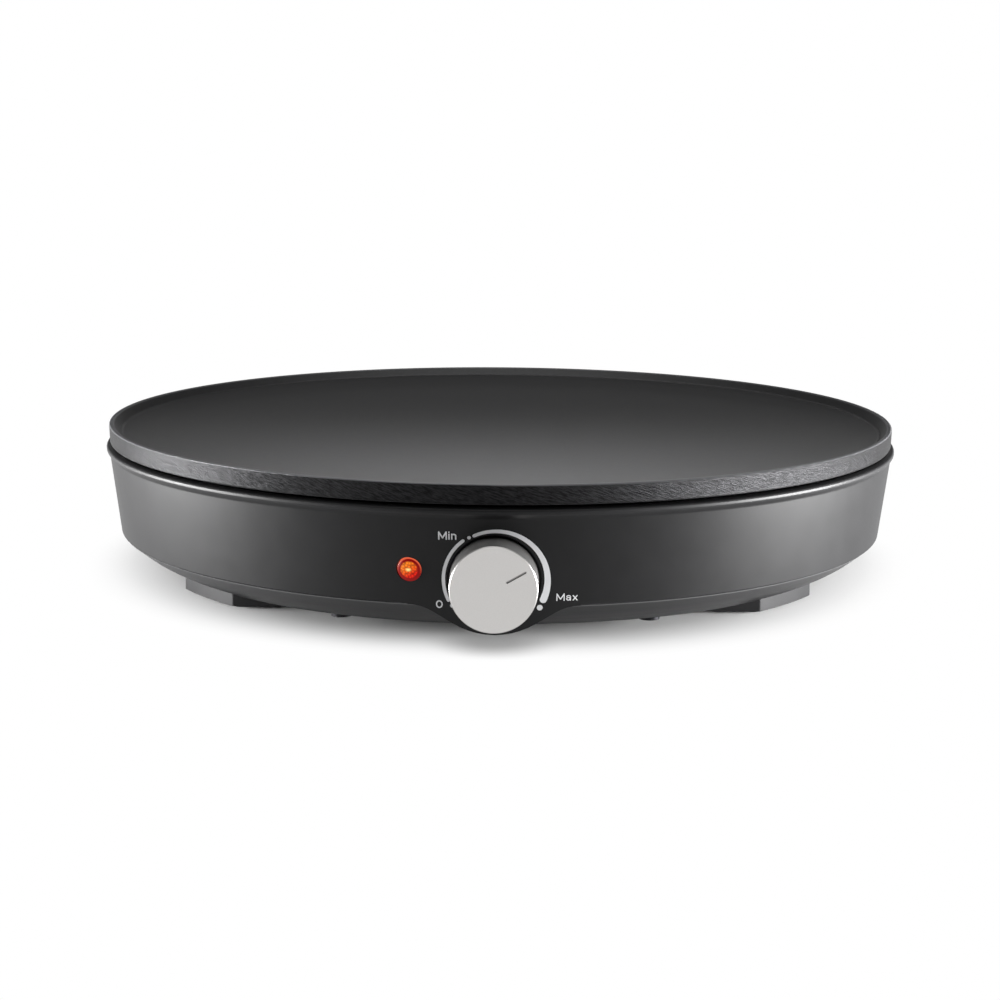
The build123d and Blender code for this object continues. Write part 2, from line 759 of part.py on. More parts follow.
# ---------------------------------------------------------------------- knob
def sector(inner, outer, centre, half, low, high):
    """Part of a ring between two reaches; angles run clockwise from the top."""
    a = radians(centre - half)
    b = radians(centre + half)
    m = radians(centre)
    edge = Polyline((inner * sin(a), inner * cos(a)), (outer * sin(a), outer * cos(a)))
    edge += ThreePointArc(
        (outer * sin(a), outer * cos(a)), (outer * sin(m), outer * cos(m)), (outer * sin(b), outer * cos(b))
    )
    edge += Line((outer * sin(b), outer * cos(b)), (inner * sin(b), inner * cos(b)))
    edge += ThreePointArc(
        (inner * sin(b), inner * cos(b)), (inner * sin(m), inner * cos(m)), (inner * sin(a), inner * cos(a))
    )
    return extrude(Pos(0, 0, low) * make_face(edge), high - low)


def d_bar(radius, flat, low, high):
    """Round bar with one flat, which faces away from the pointer."""
    bar = drum(radius, low, high)
    away = block((-radius, radius), (-radius - PAST, -flat), (low, high))
    return bar - Rot(0, 0, -pointer_rest) * away


def knob_cap():
    """Drafted cup with a chamfered face and an engraved pointer."""
    face_y = knob_face_y
    cup = turned(
        (0, knob_back_y), (knob_back_r, knob_back_y), (knob_face_r, face_y - knob_chamfer),
        (knob_face_r - knob_chamfer, face_y), (0, face_y),
    )
    cup -= drum(knob_face_r - knob_wall, knob_back_y - PAST, face_y - knob_face_t)
    line = Rot(0, 0, -pointer_rest) * Pos(0, (pointer_in + pointer_out) / 2, face_y - pointer_depth)
    slot = SlotOverall(pointer_out - pointer_in, pointer_w, rotation=90)
    cup -= line * extrude(slot, pointer_depth + PAST)
    return facing(0, knob_z) * cup


def knob_insert():
    """Disc, ribs and hub that carry the cap on the spindle."""
    front = knob_face_y - knob_face_t
    disc_r = knob_face_r - knob_wall - SLIDE
    back = front - insert_disc_t
    hub_end = knob_back_y + hub_gap
    core = drum(disc_r, back, front) + drum(hub_r, hub_end, front)
    for angle in (0, 90):
        rib = block((-disc_r, disc_r), (-knob_rib_t / 2, knob_rib_t / 2), (back - knob_rib_l, back))
        core += Rot(0, 0, angle) * rib & drum(disc_r, back - knob_rib_l, back)
    tip = front - spindle_end_gap + SLIDE
    core -= d_bar(spindle_r + RUNNING, spindle_flat + RUNNING, hub_end - PAST, tip)
    return facing(0, knob_z) * core


def knob_clip():
    """Open spring ring round the hub."""
    low = knob_back_y + clip_ring_gap
    inner = hub_r + RUNNING
    gap = clip_ring_open / 2
    ring = sector(inner, inner + clip_ring_t, 180, 180 - gap, low, low + clip_ring_w)
    return facing(0, knob_z) * ring


def thermostat_spindle():
    """Shaft with a D end for the knob and a stop lug in line with the pointer."""
    tip = knob_face_y - knob_face_t - spindle_end_gap
    tail = body_front_y - stop_well_l - bearing_l + spindle_tail_gap
    shaft = drum(spindle_r, tail, tip - spindle_flat_l)
    shaft += d_bar(spindle_r, spindle_flat, tip - spindle_flat_l, tip)
    lug_high = body_front_y - stop_lug_gap
    lug_low = lug_high - stop_lug_l
    travel = dial_max - dial_min
    half = (360 - travel) / 2 - stop_fixed_half - stop_spare
    shaft += drum(spindle_r + spindle_collar, lug_low, lug_high)
    shaft += sector(spindle_r, stop_lug_r, pointer_rest, half, lug_low, lug_high)
    return facing(0, knob_z) * shaft


# ---------------------------------------------------------------- thermostat
def thermostat_body():
    """Switch body with the spindle's bearing and the fixed stop in its front well."""
    half_w, half_h = body_w / 2, body_h / 2
    body = block((-half_w, half_w), (-half_h, half_h), (body_back_y, body_front_y))
    body = fillet(body.edges().filter_by(Axis.Z), body_corner_r)
    well_low = body_front_y - stop_well_l
    body -= drum(stop_well_r, well_low, body_front_y)
    middle = (dial_min + dial_max) / 2 + 180
    inner, outer = spindle_r + stop_fixed_gap, (stop_well_r + half_h) / 2
    body += sector(inner, outer, middle, stop_fixed_half, well_low, body_front_y)
    body -= drum(spindle_r + RUNNING, well_low - bearing_l, body_front_y)
    return facing(0, knob_z) * body


def thermostat_bracket():
    """U-shaped plate that clasps the body and is screwed behind the front wall."""
    half_h = bracket_h / 2
    plate = block((-bracket_w / 2, bracket_w / 2), (-half_h, half_h), (body_front_y, bracket_y))
    for side in (-1, 1):
        near, far = sorted((side * body_w / 2, side * (body_w / 2 + bracket_t)))
        plate += block((near, far), (-half_h, half_h), (body_front_y - bracket_ear_l, body_front_y))
        hole = drum(M3[0] + HOLE, body_front_y - PAST, bracket_y + PAST)
        plate -= Pos(side * bracket_screw_x, 0, 0) * hole
    plate -= drum(spindle_r + bracket_hole_gap, body_front_y - PAST, bracket_y + PAST)
    return facing(0, knob_z) * plate


def thermostat_screws():
    """Two screws from behind the bracket, pointing to the front."""
    one = screw(M3, body_front_y, bracket_t + bracket_screw_l)
    return group([facing(0, knob_z) * Pos(side * bracket_screw_x, 0, 0) * one for side in (-1, 1)])


def thermostat_terminals():
    """Two push-on tabs on the back of the body."""
    tab = push_tab(body_back_y - tab_l)
    return group([facing(0, knob_z) * Pos(side * tab_x, 0, 0) * tab for side in (-1, 1)])


def capillary_points():
    """Route of the capillary, from the back of the body to the bulb."""
    low_z = knob_z + capillary_exit_dz
    return [
        (sensor_x, -body_back_y, low_z), (sensor_x, sensor_y[0] + capillary_run[0], low_z),
        (sensor_x, sensor_y[0] + capillary_run[1], sensor_z), (sensor_x, sensor_y[0], sensor_z),
    ]


def capillary_hole_y():
    """Where the capillary passes the shield."""
    (_, y0, z0), (_, y1, z1) = capillary_points()[1:3]
    return y0 + (shield_z - z0) * (y1 - y0) / (z1 - z0)


def thermostat_sensor():
    """Bulb under the plate with its capillary tube."""
    bulb = drum(sensor_r, 0, sensor_y[1] - sensor_y[0])
    bulb = fillet(bulb.edges(), sensor_end_r)
    bulb = Plane(origin=(sensor_x, sensor_y[0], sensor_z), z_dir=(0, 1, 0)) * bulb
    return bulb + wire_run(capillary_points(), capillary_r, [capillary_bend_r] * 2)


# ---------------------------------------------------------------- pilot lamp
def lamp_lens():
    """Domed lens pushed through the wall from inside."""
    face = wall_r(lamp_z)
    seat = lamp_pad_y
    top = face + lens_dome
    dome_r = (lens_r ** 2 + lens_dome ** 2) / (2 * lens_dome)
    half = acos(1 - lens_dome / dome_r) / 2
    middle = (dome_r * sin(half), top - dome_r * (1 - cos(half)))
    edge = ThreePointArc((lens_r, face), middle, (0, top))
    edge += Polyline(
        (0, top), (0, seat - lens_flange_t), (lens_flange_r, seat - lens_flange_t),
        (lens_flange_r, seat), (lens_r, seat), (lens_r, face),
    )
    lens = revolve(Plane.XZ * make_face(edge), Axis.Z)
    return facing(lamp_azimuth, lamp_z) * lens


def lamp_holder():
    """Cup pushed into the socket behind the lens, with the neon lamp's seat."""
    front = lamp_pad_y - lens_flange_t
    back = front - holder_l
    cup = drum(lens_flange_r, back, front)
    cup -= drum(lens_r, front - holder_mouth_l, front)
    cup -= drum(neon_r + SLIDE, back + holder_floor_t, front)
    for side in (-1, 1):
        hole = drum(lamp_lead_r + SLIDE, back - PAST, back + holder_floor_t + PAST)
        cup -= Pos(side * neon_r / 2, 0, 0) * hole
    return facing(lamp_azimuth, lamp_z) * cup


def neon_lamp():
    """Glass tube with rounded ends."""
    low = lamp_pad_y - lens_flange_t - holder_l + holder_floor_t
    bulb = fillet(drum(neon_r, low, low + neon_l).edges(), neon_end_r)
    return facing(lamp_azimuth, lamp_z) * bulb


# -------------------------------------------------- terminal block and gland
def terminal_block():
    """Ceramic block with three through poles, their screw wells and two fixings."""
    width, depth, tall = block_size
    low = floor_z + block_boss_h
    body = block((-width / 2, width / 2), (block_y - depth / 2, block_y + depth / 2), (low, low + tall))
    body = fillet(body.edges().filter_by(Axis.Z), body_corner_r)
    for i in (-1, 0, 1):
        bore = drum(pole_r + SLIDE, block_y - depth / 2, block_y + depth / 2)
        body -= Plane(origin=(i * pole_pitch, 0, pole_z), z_dir=(0, 1, 0)) * bore
        for side in (-1, 1):
            well = drum(pole_bore_r + SLIDE, pole_z, low + tall)
            body -= at(i * pole_pitch, block_y + side * pole_screw_pitch / 2, well)
    for side in (-1, 1):
        x = side * pole_pitch / 2
        body -= at(x, block_y, drum(M3[0] + HOLE, low, low + tall))
        body -= at(x, block_y, drum(M3[1] + SLIDE, low + tall - block_screw_sink, low + tall))
    return body


def terminal_inserts():
    """Brass sleeves of the three poles, drilled for their clamp screws."""
    sleeves = []
    for i in (-1, 0, 1):
        sleeve = tube(pole_r, pole_bore_r, block_y - pole_l / 2, block_y + pole_l / 2)
        sleeve = Plane(origin=(i * pole_pitch, 0, pole_z), z_dir=(0, 1, 0)) * sleeve
        for side in (-1, 1):
            hole = drum(pole_screw_r + THREAD, pole_z, pole_z + pole_r + PAST)
            sleeve -= at(i * pole_pitch, block_y + side * pole_screw_pitch / 2, hole)
        sleeves.append(sleeve)
    return group(sleeves)


def terminal_screws():
    """Clamp screws, two to each pole."""
    low = pole_z + pole_bore_r + SEAT
    top = low + pole_screw_l
    slot_w, slot_h = pole_slot
    pin = drum(pole_screw_r, low, top)
    pin -= block((-pole_r, pole_r), (-slot_w / 2, slot_w / 2), (top - slot_h, top))
    reaches = [block_y + side * pole_screw_pitch / 2 for side in (-1, 1)]
    return group([at(i * pole_pitch, y, pin) for i in (-1, 0, 1) for y in reaches])


def block_screws():
    """Two screws down through the block into the pan."""
    top = floor_z + block_boss_h + block_size[2] - block_screw_sink
    length = top - floor_z + block_screw_short
    one = Plane(origin=(0, 0, top), x_dir=(1, 0, 0), z_dir=(0, 0, -1)) * screw(M3, 0, length)
    return group([at(side * pole_pitch / 2, block_y, one) for side in (-1, 1)])


def cable_gland():
    """Bush in the back wall: outer flange, neck through the wall, inner flange."""
    seat_in = gland_seat_y - gland_wall
    bush = drum(gland_flange_r, gland_seat_y, gland_seat_y + gland_flange_t)
    bush += drum(gland_neck_r, seat_in, gland_seat_y)
    bush += drum(gland_nut_r, seat_in - gland_nut_t, seat_in)
    bush -= drum(gland_bore_r, seat_in - gland_nut_t, gland_seat_y + gland_flange_t)
    return facing(180, gland_z) * bush


# --------------------------------------------------------- fuse, earth, leads
def thermal_fuse():
    """Sleeved fuse under the plate, its wires bent down through the shield."""
    half = fuse_l / 2
    fuse = Plane(origin=(fuse_x, -half, fuse_z), z_dir=(0, 1, 0)) * drum(fuse_r, 0, fuse_l)
    for side in (-1, 1):
        leg_y = side * (half + fuse_leg_x)
        points = [(fuse_x, side * half, fuse_z), (fuse_x, leg_y, fuse_z), (fuse_x, leg_y, fuse_leg_z)]
        fuse += wire_run(points, fuse_wire_r, bend_radii(points, fuse_bend_r))
        fuse += at(fuse_x, leg_y, drum(ferrule_r, fuse_leg_z - ferrule_l, fuse_leg_z))
    return fuse


def earth_tag():
    """Ring tag under the earth screw, with its crimp barrel."""
    low = shield_z - tab_t
    ring = drum(tag_r, low, shield_z)
    neck = block((-tag_neck_w / 2, tag_neck_w / 2), (0, tag_neck_l), (low, shield_z))
    barrel = Plane(origin=(0, tag_neck_l, shield_z - ferrule_r), z_dir=(0, 1, 0))
    tag = ring + neck + barrel * drum(ferrule_r, 0, tag_barrel_l)
    tag -= drum(M4[0] + SLIDE, low - PAST, shield_z + PAST)
    return at(0, earth_y, tag)


def earth_screw():
    """Screw up through the tag and the shield into its boss."""
    length = tab_t + shield_t + screw_grip - screw_hole_spare
    return at(0, earth_y, screw(M4, shield_z - tab_t, length))


def receptacle():
    """Push-on socket for a tab, its mouth at the local origin and its tab along Z."""
    half_t = tab_t / 2 + SLIDE
    half_w = tab_w / 2 + SLIDE
    out_t, out_w = half_t + socket_t, half_w + socket_t
    end = tab_l + socket_end_l
    shell = block((-out_t, out_t), (-out_w, out_w), (SEAT, end))
    shell -= block((-half_t, half_t), (-half_w, half_w), (0, tab_l + SLIDE))
    return shell + drum(lead_r + socket_t, end, socket_l)


def thermostat_socket(side):
    """Socket on one of the thermostat's tabs, and where its lead starts."""
    mouth = Plane(
        origin=(side * tab_x, -body_back_y, knob_z), x_dir=(1, 0, 0), z_dir=(0, 1, 0)
    )
    return mouth * receptacle(), (side * tab_x, -body_back_y + socket_l, knob_z)


def element_socket(side):
    """Socket on one of the element's tabs, and where its lead starts."""
    leg = element_leg(side)
    top = element_leg_z - element_pin_l
    mouth = leg * Plane(origin=(0, 0, top), x_dir=(1, 0, 0), z_dir=(0, 0, -1))
    centre = leg.origin
    return mouth * receptacle(), (centre.X, centre.Y, top - socket_l)


def lead(points, most, radius=lead_r):
    """Insulated wire along its points, with no bend wider than most."""
    return wire_run(points, radius, bend_radii(points, most))


def lead_live():
    """From the block's right pole to the thermostat's right tab."""
    socket, start = thermostat_socket(1)
    x, y, z = start
    points = [
        start, (x, y + 9, z), (x + 12, y + 24, 11), (32, -30, 9), (30, 30, 9), (24, block_y - 40, 10),
        (pole_pitch, block_y - 22, pole_z), (pole_pitch, block_y - lead_pole_l, pole_z),
    ]
    return socket + lead(points, 20)


def lead_neutral():
    """From the block's left pole to the element's rear leg."""
    socket, start = element_socket(-1)
    x, y, z = start
    points = [
        start, (x, y, z - 9), (x + 8, y + 26, 9), (-52, block_y - 40, 9), (-26, block_y - 24, 10),
        (-pole_pitch, block_y - 20, pole_z), (-pole_pitch, block_y - lead_pole_l, pole_z),
    ]
    return socket + lead(points, 12)


def lead_earth():
    """From the block's middle pole up to the earth tag."""
    tag_y = earth_y + tag_neck_l + tag_barrel_l
    tag_z = shield_z - ferrule_r
    points = [
        (0, tag_y, tag_z), (0, tag_y + 7, tag_z),
        (0, tag_y + 9, pole_z), (0, block_y - lead_pole_l, pole_z),
    ]
    return lead(points, 5)


def lead_switched():
    """From the thermostat's left tab to the fuse's front wire."""
    socket, start = thermostat_socket(-1)
    x, y, z = start
    end_y = -(fuse_l / 2 + fuse_leg_x)
    end_z = fuse_leg_z - ferrule_l
    points = [
        start, (x, y + 9, z), (x - 10, y + 28, 11), (fuse_x, end_y - 12, 10), (fuse_x, end_y, 11),
        (fuse_x, end_y, end_z),
    ]
    return socket + lead(points, 12)


def lead_fused():
    """From the fuse's rear wire to the element's front leg."""
    socket, start = element_socket(1)
    x, y, z = start
    end_y = fuse_l / 2 + fuse_leg_x
    end_z = fuse_leg_z - ferrule_l
    points = [
        start, (x, y, z - 9), (x + 20, y + 6, 9), (fuse_x - 14, end_y - 4, 9), (fuse_x, end_y, 11),
        (fuse_x, end_y, end_z),
    ]
    return socket + lead(points, 12)


def lamp_leads():
    """Two thin wires from the neon lamp, to the switched tab and the neutral leg."""
    frame = facing(lamp_azimuth, lamp_z)
    start = lamp_pad_y - lens_flange_t - holder_l + holder_floor_t
    ends = []
    for side in (-1, 1):
        local = [Vector(side * neon_r / 2, 0, reach) for reach in (start, start - 10)]
        ends.append([tuple(frame.from_local_coords(point)) for point in local])
    left, right = ends
    _, tab = thermostat_socket(-1)
    right += [(-12, tab[1] - 4, knob_z), (tab[0] - lead_r - socket_t - lamp_lead_r, tab[1] - 2, knob_z)]
    _, leg = element_socket(-1)
    left += [(-50, -96, 10), (-76, -62, 9), (-106, -26, 9), (-106, 0, 10)]
    left += [(leg[0] - 3, leg[1], leg[2] + 2)]
    return group([lead(points, 14, lamp_lead_r) for points in (left, right)])


# -------------------------------------------------------------------- export
parts = {
    "griddle_plate": griddle_plate,
    "heating_element": heating_element,
    "element_terminals": element_terminals,
    "element_clips": element_clips,
    "sensor_clip": sensor_clip,
    "fuse_clip": fuse_clip,
    "clip_screws": clip_screws,
    "heat_shield": heat_shield,
    "support_posts": support_posts,
    "post_insulators": post_insulators,
    "plate_screws": plate_screws,
    "casing": casing,
    "base_pan": base_pan,
    "base_screws": base_screws,
    "foot_screws": foot_screws,
    "knob_cap": knob_cap,
    "knob_insert": knob_insert,
    "knob_clip": knob_clip,
    "thermostat_spindle": thermostat_spindle,
    "thermostat_body": thermostat_body,
    "thermostat_bracket": thermostat_bracket,
    "thermostat_screws": thermostat_screws,
    "thermostat_terminals": thermostat_terminals,
    "thermostat_sensor": thermostat_sensor,
    "lamp_lens": lamp_lens,
    "lamp_holder": lamp_holder,
    "neon_lamp": neon_lamp,
    "terminal_block": terminal_block,
    "terminal_inserts": terminal_inserts,
    "terminal_screws": terminal_screws,
    "block_screws": block_screws,
    "cable_gland": cable_gland,
    "thermal_fuse": thermal_fuse,
    "earth_tag": earth_tag,
    "earth_screw": earth_screw,
    "lead_live": lead_live,
    "lead_neutral": lead_neutral,
    "lead_earth": lead_earth,
    "lead_switched": lead_switched,
    "lead_fused": lead_fused,
    "lamp_leads": lamp_leads,
}

axis_y = (knob_face_y - lip_r) / 2      # the plate's axis behind the footprint's middle


def keep(shape, node):
    """Carry a piece's solids to their place and write them as a STEP file."""
    solids = [Pos(0, axis_y, 0) * solid for solid in shape.solids()]
    export_step(group(solids) if len(solids) > 1 else solids[0], f"parts/{node}.step")


os.makedirs("parts", exist_ok=True)
for node, make in parts.items():
    keep(make(), node)
for corner, signs in foot_signs.items():
    keep(placed(foot(), signs), f"foot_{corner}")
    keep(placed(foot_pad(), signs), f"pad_{corner}")
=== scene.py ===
"""Electric crepe maker: finishes, dial print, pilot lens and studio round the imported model."""

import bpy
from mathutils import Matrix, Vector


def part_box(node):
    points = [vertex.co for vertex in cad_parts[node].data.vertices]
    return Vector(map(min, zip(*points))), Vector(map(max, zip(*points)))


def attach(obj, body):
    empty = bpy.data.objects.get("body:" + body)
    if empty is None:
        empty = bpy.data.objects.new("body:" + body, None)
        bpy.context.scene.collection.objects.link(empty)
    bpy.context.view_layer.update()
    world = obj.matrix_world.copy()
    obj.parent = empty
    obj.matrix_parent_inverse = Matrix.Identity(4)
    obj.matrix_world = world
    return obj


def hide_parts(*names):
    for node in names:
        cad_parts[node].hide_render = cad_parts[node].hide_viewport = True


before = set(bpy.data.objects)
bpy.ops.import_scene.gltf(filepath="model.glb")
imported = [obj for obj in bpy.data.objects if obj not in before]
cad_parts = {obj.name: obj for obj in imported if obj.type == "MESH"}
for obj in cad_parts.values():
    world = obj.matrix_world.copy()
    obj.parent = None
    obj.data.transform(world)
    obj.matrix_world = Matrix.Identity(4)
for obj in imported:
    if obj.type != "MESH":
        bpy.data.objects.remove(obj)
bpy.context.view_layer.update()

import math

import bpy
import numpy as np
from bpy.props import FloatProperty, FloatVectorProperty, PointerProperty
from mathutils import Matrix, Vector

bl_info = {
    "name": "Electric Crepe Maker",
    "version": (1, 0, 0),
    "blender": (4, 5, 0),
    "location": "View3D > Sidebar > Crepe Maker",
    "description": "Dresses the packed crepe maker with its finishes, dial print and pilot lens",
    "category": "Object",
}

MM = 0.001
plate_low, plate_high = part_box("griddle_plate")
lens_low, lens_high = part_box("lamp_lens")
knob_low, knob_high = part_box("knob_cap")

# The plate's axis, which every round piece shares, behind the middle of the footprint.
AXIS_Y = (plate_low.y + plate_high.y) / 2
PLATE_R = 0.15
KNOB_Z = (knob_low.z + knob_high.z) / 2

# Casing's wall under the dial: a cone from the crease up to the root of the lip.
CREASE_Z = 14.2 * MM
CREASE_R = 146.2 * MM
WALL_TOP_Z = 43.9 * MM
WALL_TOP_R = 149.9 * MM
WALL_LEAN = (WALL_TOP_R - CREASE_R) / (WALL_TOP_Z - CREASE_Z)

# The printed heat scale, in millimetres, and in degrees clockwise from the top. Its middle lies
# a little off the knob's. An arc has its two ends, whether it widens, how far its first end lies
# off the arc radius, how far it grows outwards, and how far it lies to the left.
DIAL_ASIDE, DIAL_UP = 0.6, 0.2
ARCS = (
    (-115.5, -38.4, False, 0.0, 0.0, 0.27),
    (-25.5, 113.6, True, -0.25, 0.91, 0.0),
)
# A dot has its setting, its diameter, and how far outside the dots' circle it lies.
DOTS = (("off_angle", 1.2, 0.2), ("low_angle", 1.2, 0.0), ("high_angle", 1.9, 0.4))
# A word has its left end, its foot, its share of the letter height and stroke, and its tilt.
WORDS = (
    ("Min", -18.0, 36.7, 1.0, 1.08, 1.3),
    ("Max", 20.25, 16.1, 0.95, 0.82, 0.0),
    ("0", -18.82, 13.29, 1.04, 1.0, 0.0),
)

# The pilot lens: its rim, how far its tip stands off the wall and its dome falls to the rim, and
# its flange behind the wall, from the plate's axis.
LENS_RIM_R = 4.0 * MM
LENS_STANDS = 1.0 * MM
LENS_DOME = 0.85 * MM
LENS_SUNK = 0.2 * MM
FLANGE_FRONT_R = 144.9 * MM
FLANGE_BACK_R = 143.9 * MM

# The stage, in metres: the paper and its turned-up edge, and where the paper turns plain white,
# counted from the plate's axis and from the middle of the knob's shadow.
PAPER_R, PAPER_EDGE = 12.0, 1.2
WHITE_FROM, WHITE_TO = 0.122, 0.162
SHADOW_PLACE = (0, AXIS_Y - 0.138, 0)
SHADOW_FROM, SHADOW_TO = 0.004, 0.024


# ---------------------------------------------------------------------- settings
def length_mm(name, description, value):
    """A length setting, given in millimetres and kept in metres."""
    return FloatProperty(name=name, description=description, default=value * MM, min=0.0,
                         precision=5, unit="LENGTH", subtype="DISTANCE")


def turn(name, description, value):
    """An angle setting, given in degrees and kept in radians."""
    return FloatProperty(name=name, description=description, default=math.radians(value),
                         unit="ROTATION", subtype="ANGLE")


def power(name, light, watts):
    """The power of a light, in watts."""
    return FloatProperty(name=name, description=f"Power of {light}, in watts", default=watts,
                         min=0.0)


def linear(code):
    """Turn an sRGB hex colour into the linear RGBA that a shader reads."""
    parts = np.array([int(code[i:i + 2], 16) for i in (1, 3, 5)]) / 255
    low, high = parts / 12.92, ((parts + 0.055) / 1.055) ** 2.4
    return (*np.where(parts <= 0.04045, low, high).tolist(), 1.0)


def paint(name, description, code):
    """A colour setting, given as sRGB hex and kept linear."""
    return FloatVectorProperty(name=name, description=description, subtype="COLOR", size=4,
                               min=0.0, max=1.0, default=linear(code))


class CrepeDialSettings(bpy.types.PropertyGroup):
    dot_circle: length_mm("Dot circle", "Radius of the circle through the three dots", 16.7)
    arc_outer: length_mm("Arc radius", "Outer radius of the two heat arcs", 17.3)
    arc_thin: length_mm("Arc width", "Width of the arcs at their thin end", 1.1)
    arc_wide: length_mm("Full heat width", "Width of the long arc at full heat", 2.33)
    off_angle: turn("Off", "Dot of the off position, clockwise from the top", -122.4)
    low_angle: turn("Low", "Dot of the lowest heat, clockwise from the top", -31.5)
    high_angle: turn("High", "Dot of the highest heat, clockwise from the top", 123.5)
    cap_height: length_mm("Letter height", "Height of the capital letters", 2.4)
    stretch: FloatProperty(name="Letter stretch", default=1.32, min=0.1,
                           description="Width of the letters against their height")
    stroke: length_mm("Letter stroke", "Width of the letters' strokes", 0.42)
    proud: length_mm("Print thickness", "How far the print stands off the wall", 0.04)
    ink: paint("Ink", "Colour of the printed scale", "#e0e1e3")


class CrepeLampSettings(bpy.types.PropertyGroup):
    prism_pitch: length_mm("Prism pitch", "Spacing of the small pyramids in the lens", 0.8)
    prism_depth: length_mm("Prism depth", "Depth of the grooves between the pyramids", 0.14)
    glow: paint("Glow", "Colour of the lit lens", "#ff8a1e")
    spot: paint("Hot spot", "Colour over the lamp itself", "#ffe68c")


class CrepeFinishSettings(bpy.types.PropertyGroup):
    coating: paint("Coating", "Non-stick coating of the plate", "#282829")
    casing: paint("Casing", "Anthracite of the casing", "#141415")
    pan: paint("Base", "Anthracite of the base pan and the feet", "#202021")
    knob: paint("Knob", "Satin silver of the knob", "#d2d0ce")


class CrepeStageSettings(bpy.types.PropertyGroup):
    distance: length_mm("Distance", "Camera to the plate's axis, along the floor", 802.15)
    camera_height: length_mm("Height", "Camera above the floor", 174.82)
    pitch: turn("Pitch", "How far the camera looks down", 10.828)
    roll: turn("Roll", "Turn of the camera about its own line of sight", 0.4245)
    swing: turn("Swing", "How far the camera stands to the right of the front", 0.67)
    lens: FloatProperty(name="Focal length", description="Camera's focal length in millimetres",
                        default=74.88, min=1.0)
    over_power: power("Overhead", "the overhead light", 4)
    front_power: power("Front", "the front fill light", 0.6)
    side_power: power("Side", "each side light", 0.5)
    strip_power: power("Strips", "each low strip light", 3.2)
    back_power: power("Back", "the light low behind", 0.035)
    sky: FloatProperty(name="Sky", description="Level of the light that comes from all round",
                       default=0.1, min=0.0)


# --------------------------------------------------------------------- materials
def put(tree, kind, sockets=None, **settings):
    """Add a node: settings are its own properties, sockets take values or nodes' outputs."""
    made = tree.nodes.new("ShaderNode" + kind)
    for name, value in settings.items():
        setattr(made, name, value)
    for name, value in (sockets or {}).items():
        if isinstance(value, bpy.types.NodeSocket):
            tree.links.new(value, made.inputs[name])
        else:
            made.inputs[name].default_value = value
    return made


def blank(name, shader_sockets):
    """Start a material: its tree, its shader with the constants given, and its place in space."""
    material = bpy.data.materials.new(name)
    material.use_nodes = True
    tree = material.node_tree
    tree.nodes.clear()
    shader = put(tree, "BsdfPrincipled", shader_sockets)
    out = put(tree, "OutputMaterial", {"Surface": shader.outputs[0]})
    out.target = "ALL"
    place = put(tree, "TexCoord").outputs["Object"]
    return material, tree, shader, place


def feed(tree, shader, outputs):
    """Join outputs to the shader's sockets of the names given."""
    for name, output in outputs.items():
        tree.links.new(output, shader.inputs[name])


def grains(millimetres):
    """Texture scale that gives features of this size on object coordinates in metres."""
    return 1000 / millimetres


def noise(tree, place, millimetres, detail):
    """Noise round 0.5 with features of this size."""
    return put(tree, "TexNoise", {"Vector": place, "Scale": grains(millimetres),
                                  "Detail": detail}).outputs["Fac"]


def ramp(tree, value, start=0.0, end=1.0, low=0.0, high=1.0, **settings):
    """A value that goes from low to high as another goes from start to end."""
    return put(tree, "MapRange", {"Value": value, "From Min": start, "From Max": end,
                                  "To Min": low, "To Max": high}, **settings).outputs[0]


def reckon(tree, operation, *values):
    """One step of arithmetic on numbers."""
    return put(tree, "Math", dict(enumerate(values)), operation=operation).outputs[0]


def reckon_vector(tree, operation, *values):
    """One step of arithmetic on vectors; a length, a distance or a dot product is a number."""
    made = put(tree, "VectorMath", dict(enumerate(values)), operation=operation)
    return made.outputs["Value" if operation in ("LENGTH", "DISTANCE", "DOT_PRODUCT") else 0]


def scaled(tree, colour, factor):
    """A colour times a factor."""
    return put(tree, "VectorMath", {0: colour, "Scale": factor}, operation="SCALE").outputs[0]


def blend(tree, factor, first, second):
    """A colour that goes from the first to the second with the factor."""
    return put(tree, "Mix", {"Factor": factor, "A": first, "B": second},
               data_type="VECTOR").outputs[1]


def bumped(tree, height, strength, millimetres):
    """The surface's direction, bent by a height that spans this many millimetres."""
    return put(tree, "Bump", {"Height": height, "Strength": strength,
                              "Distance": millimetres * MM}).outputs[0]


def anthracite(name, colour, roughness, sparkle, highlight_z, highlight_code):
    """Moulded ABS with aluminium flake: near black head on, satin grey where a light rakes it.

    Above the height given, a painted highlight: paler skin along a parting edge, or over the
    casing's lip.
    """
    material, tree, shader, place = blank(name, {"Specular IOR Level": 0.2})
    cloud = noise(tree, place, 9.0, 3.0)
    skin = scaled(tree, colour[:3], ramp(tree, cloud, 0.3, 0.7, 0.92, 1.08))
    height = put(tree, "SeparateXYZ", {0: place}).outputs["Z"]
    # Painted highlight: paler skin above the height given, where an edge catches the light.
    painted_highlight = ramp(tree, height, highlight_z - 0.2 * MM, highlight_z + 0.1 * MM)
    # Flakes of 0.05 mm under the skin, drawn at 0.4 mm so that they glint where light rakes them.
    flake = noise(tree, place, 0.4, 2.0)
    feed(tree, shader, {
        "Base Color": blend(tree, painted_highlight, skin, linear(highlight_code)[:3]),
        "Roughness": ramp(tree, cloud, low=roughness - 0.03, high=roughness + 0.04),
        "Normal": bumped(tree, flake, sparkle, 0.05)})
    return material


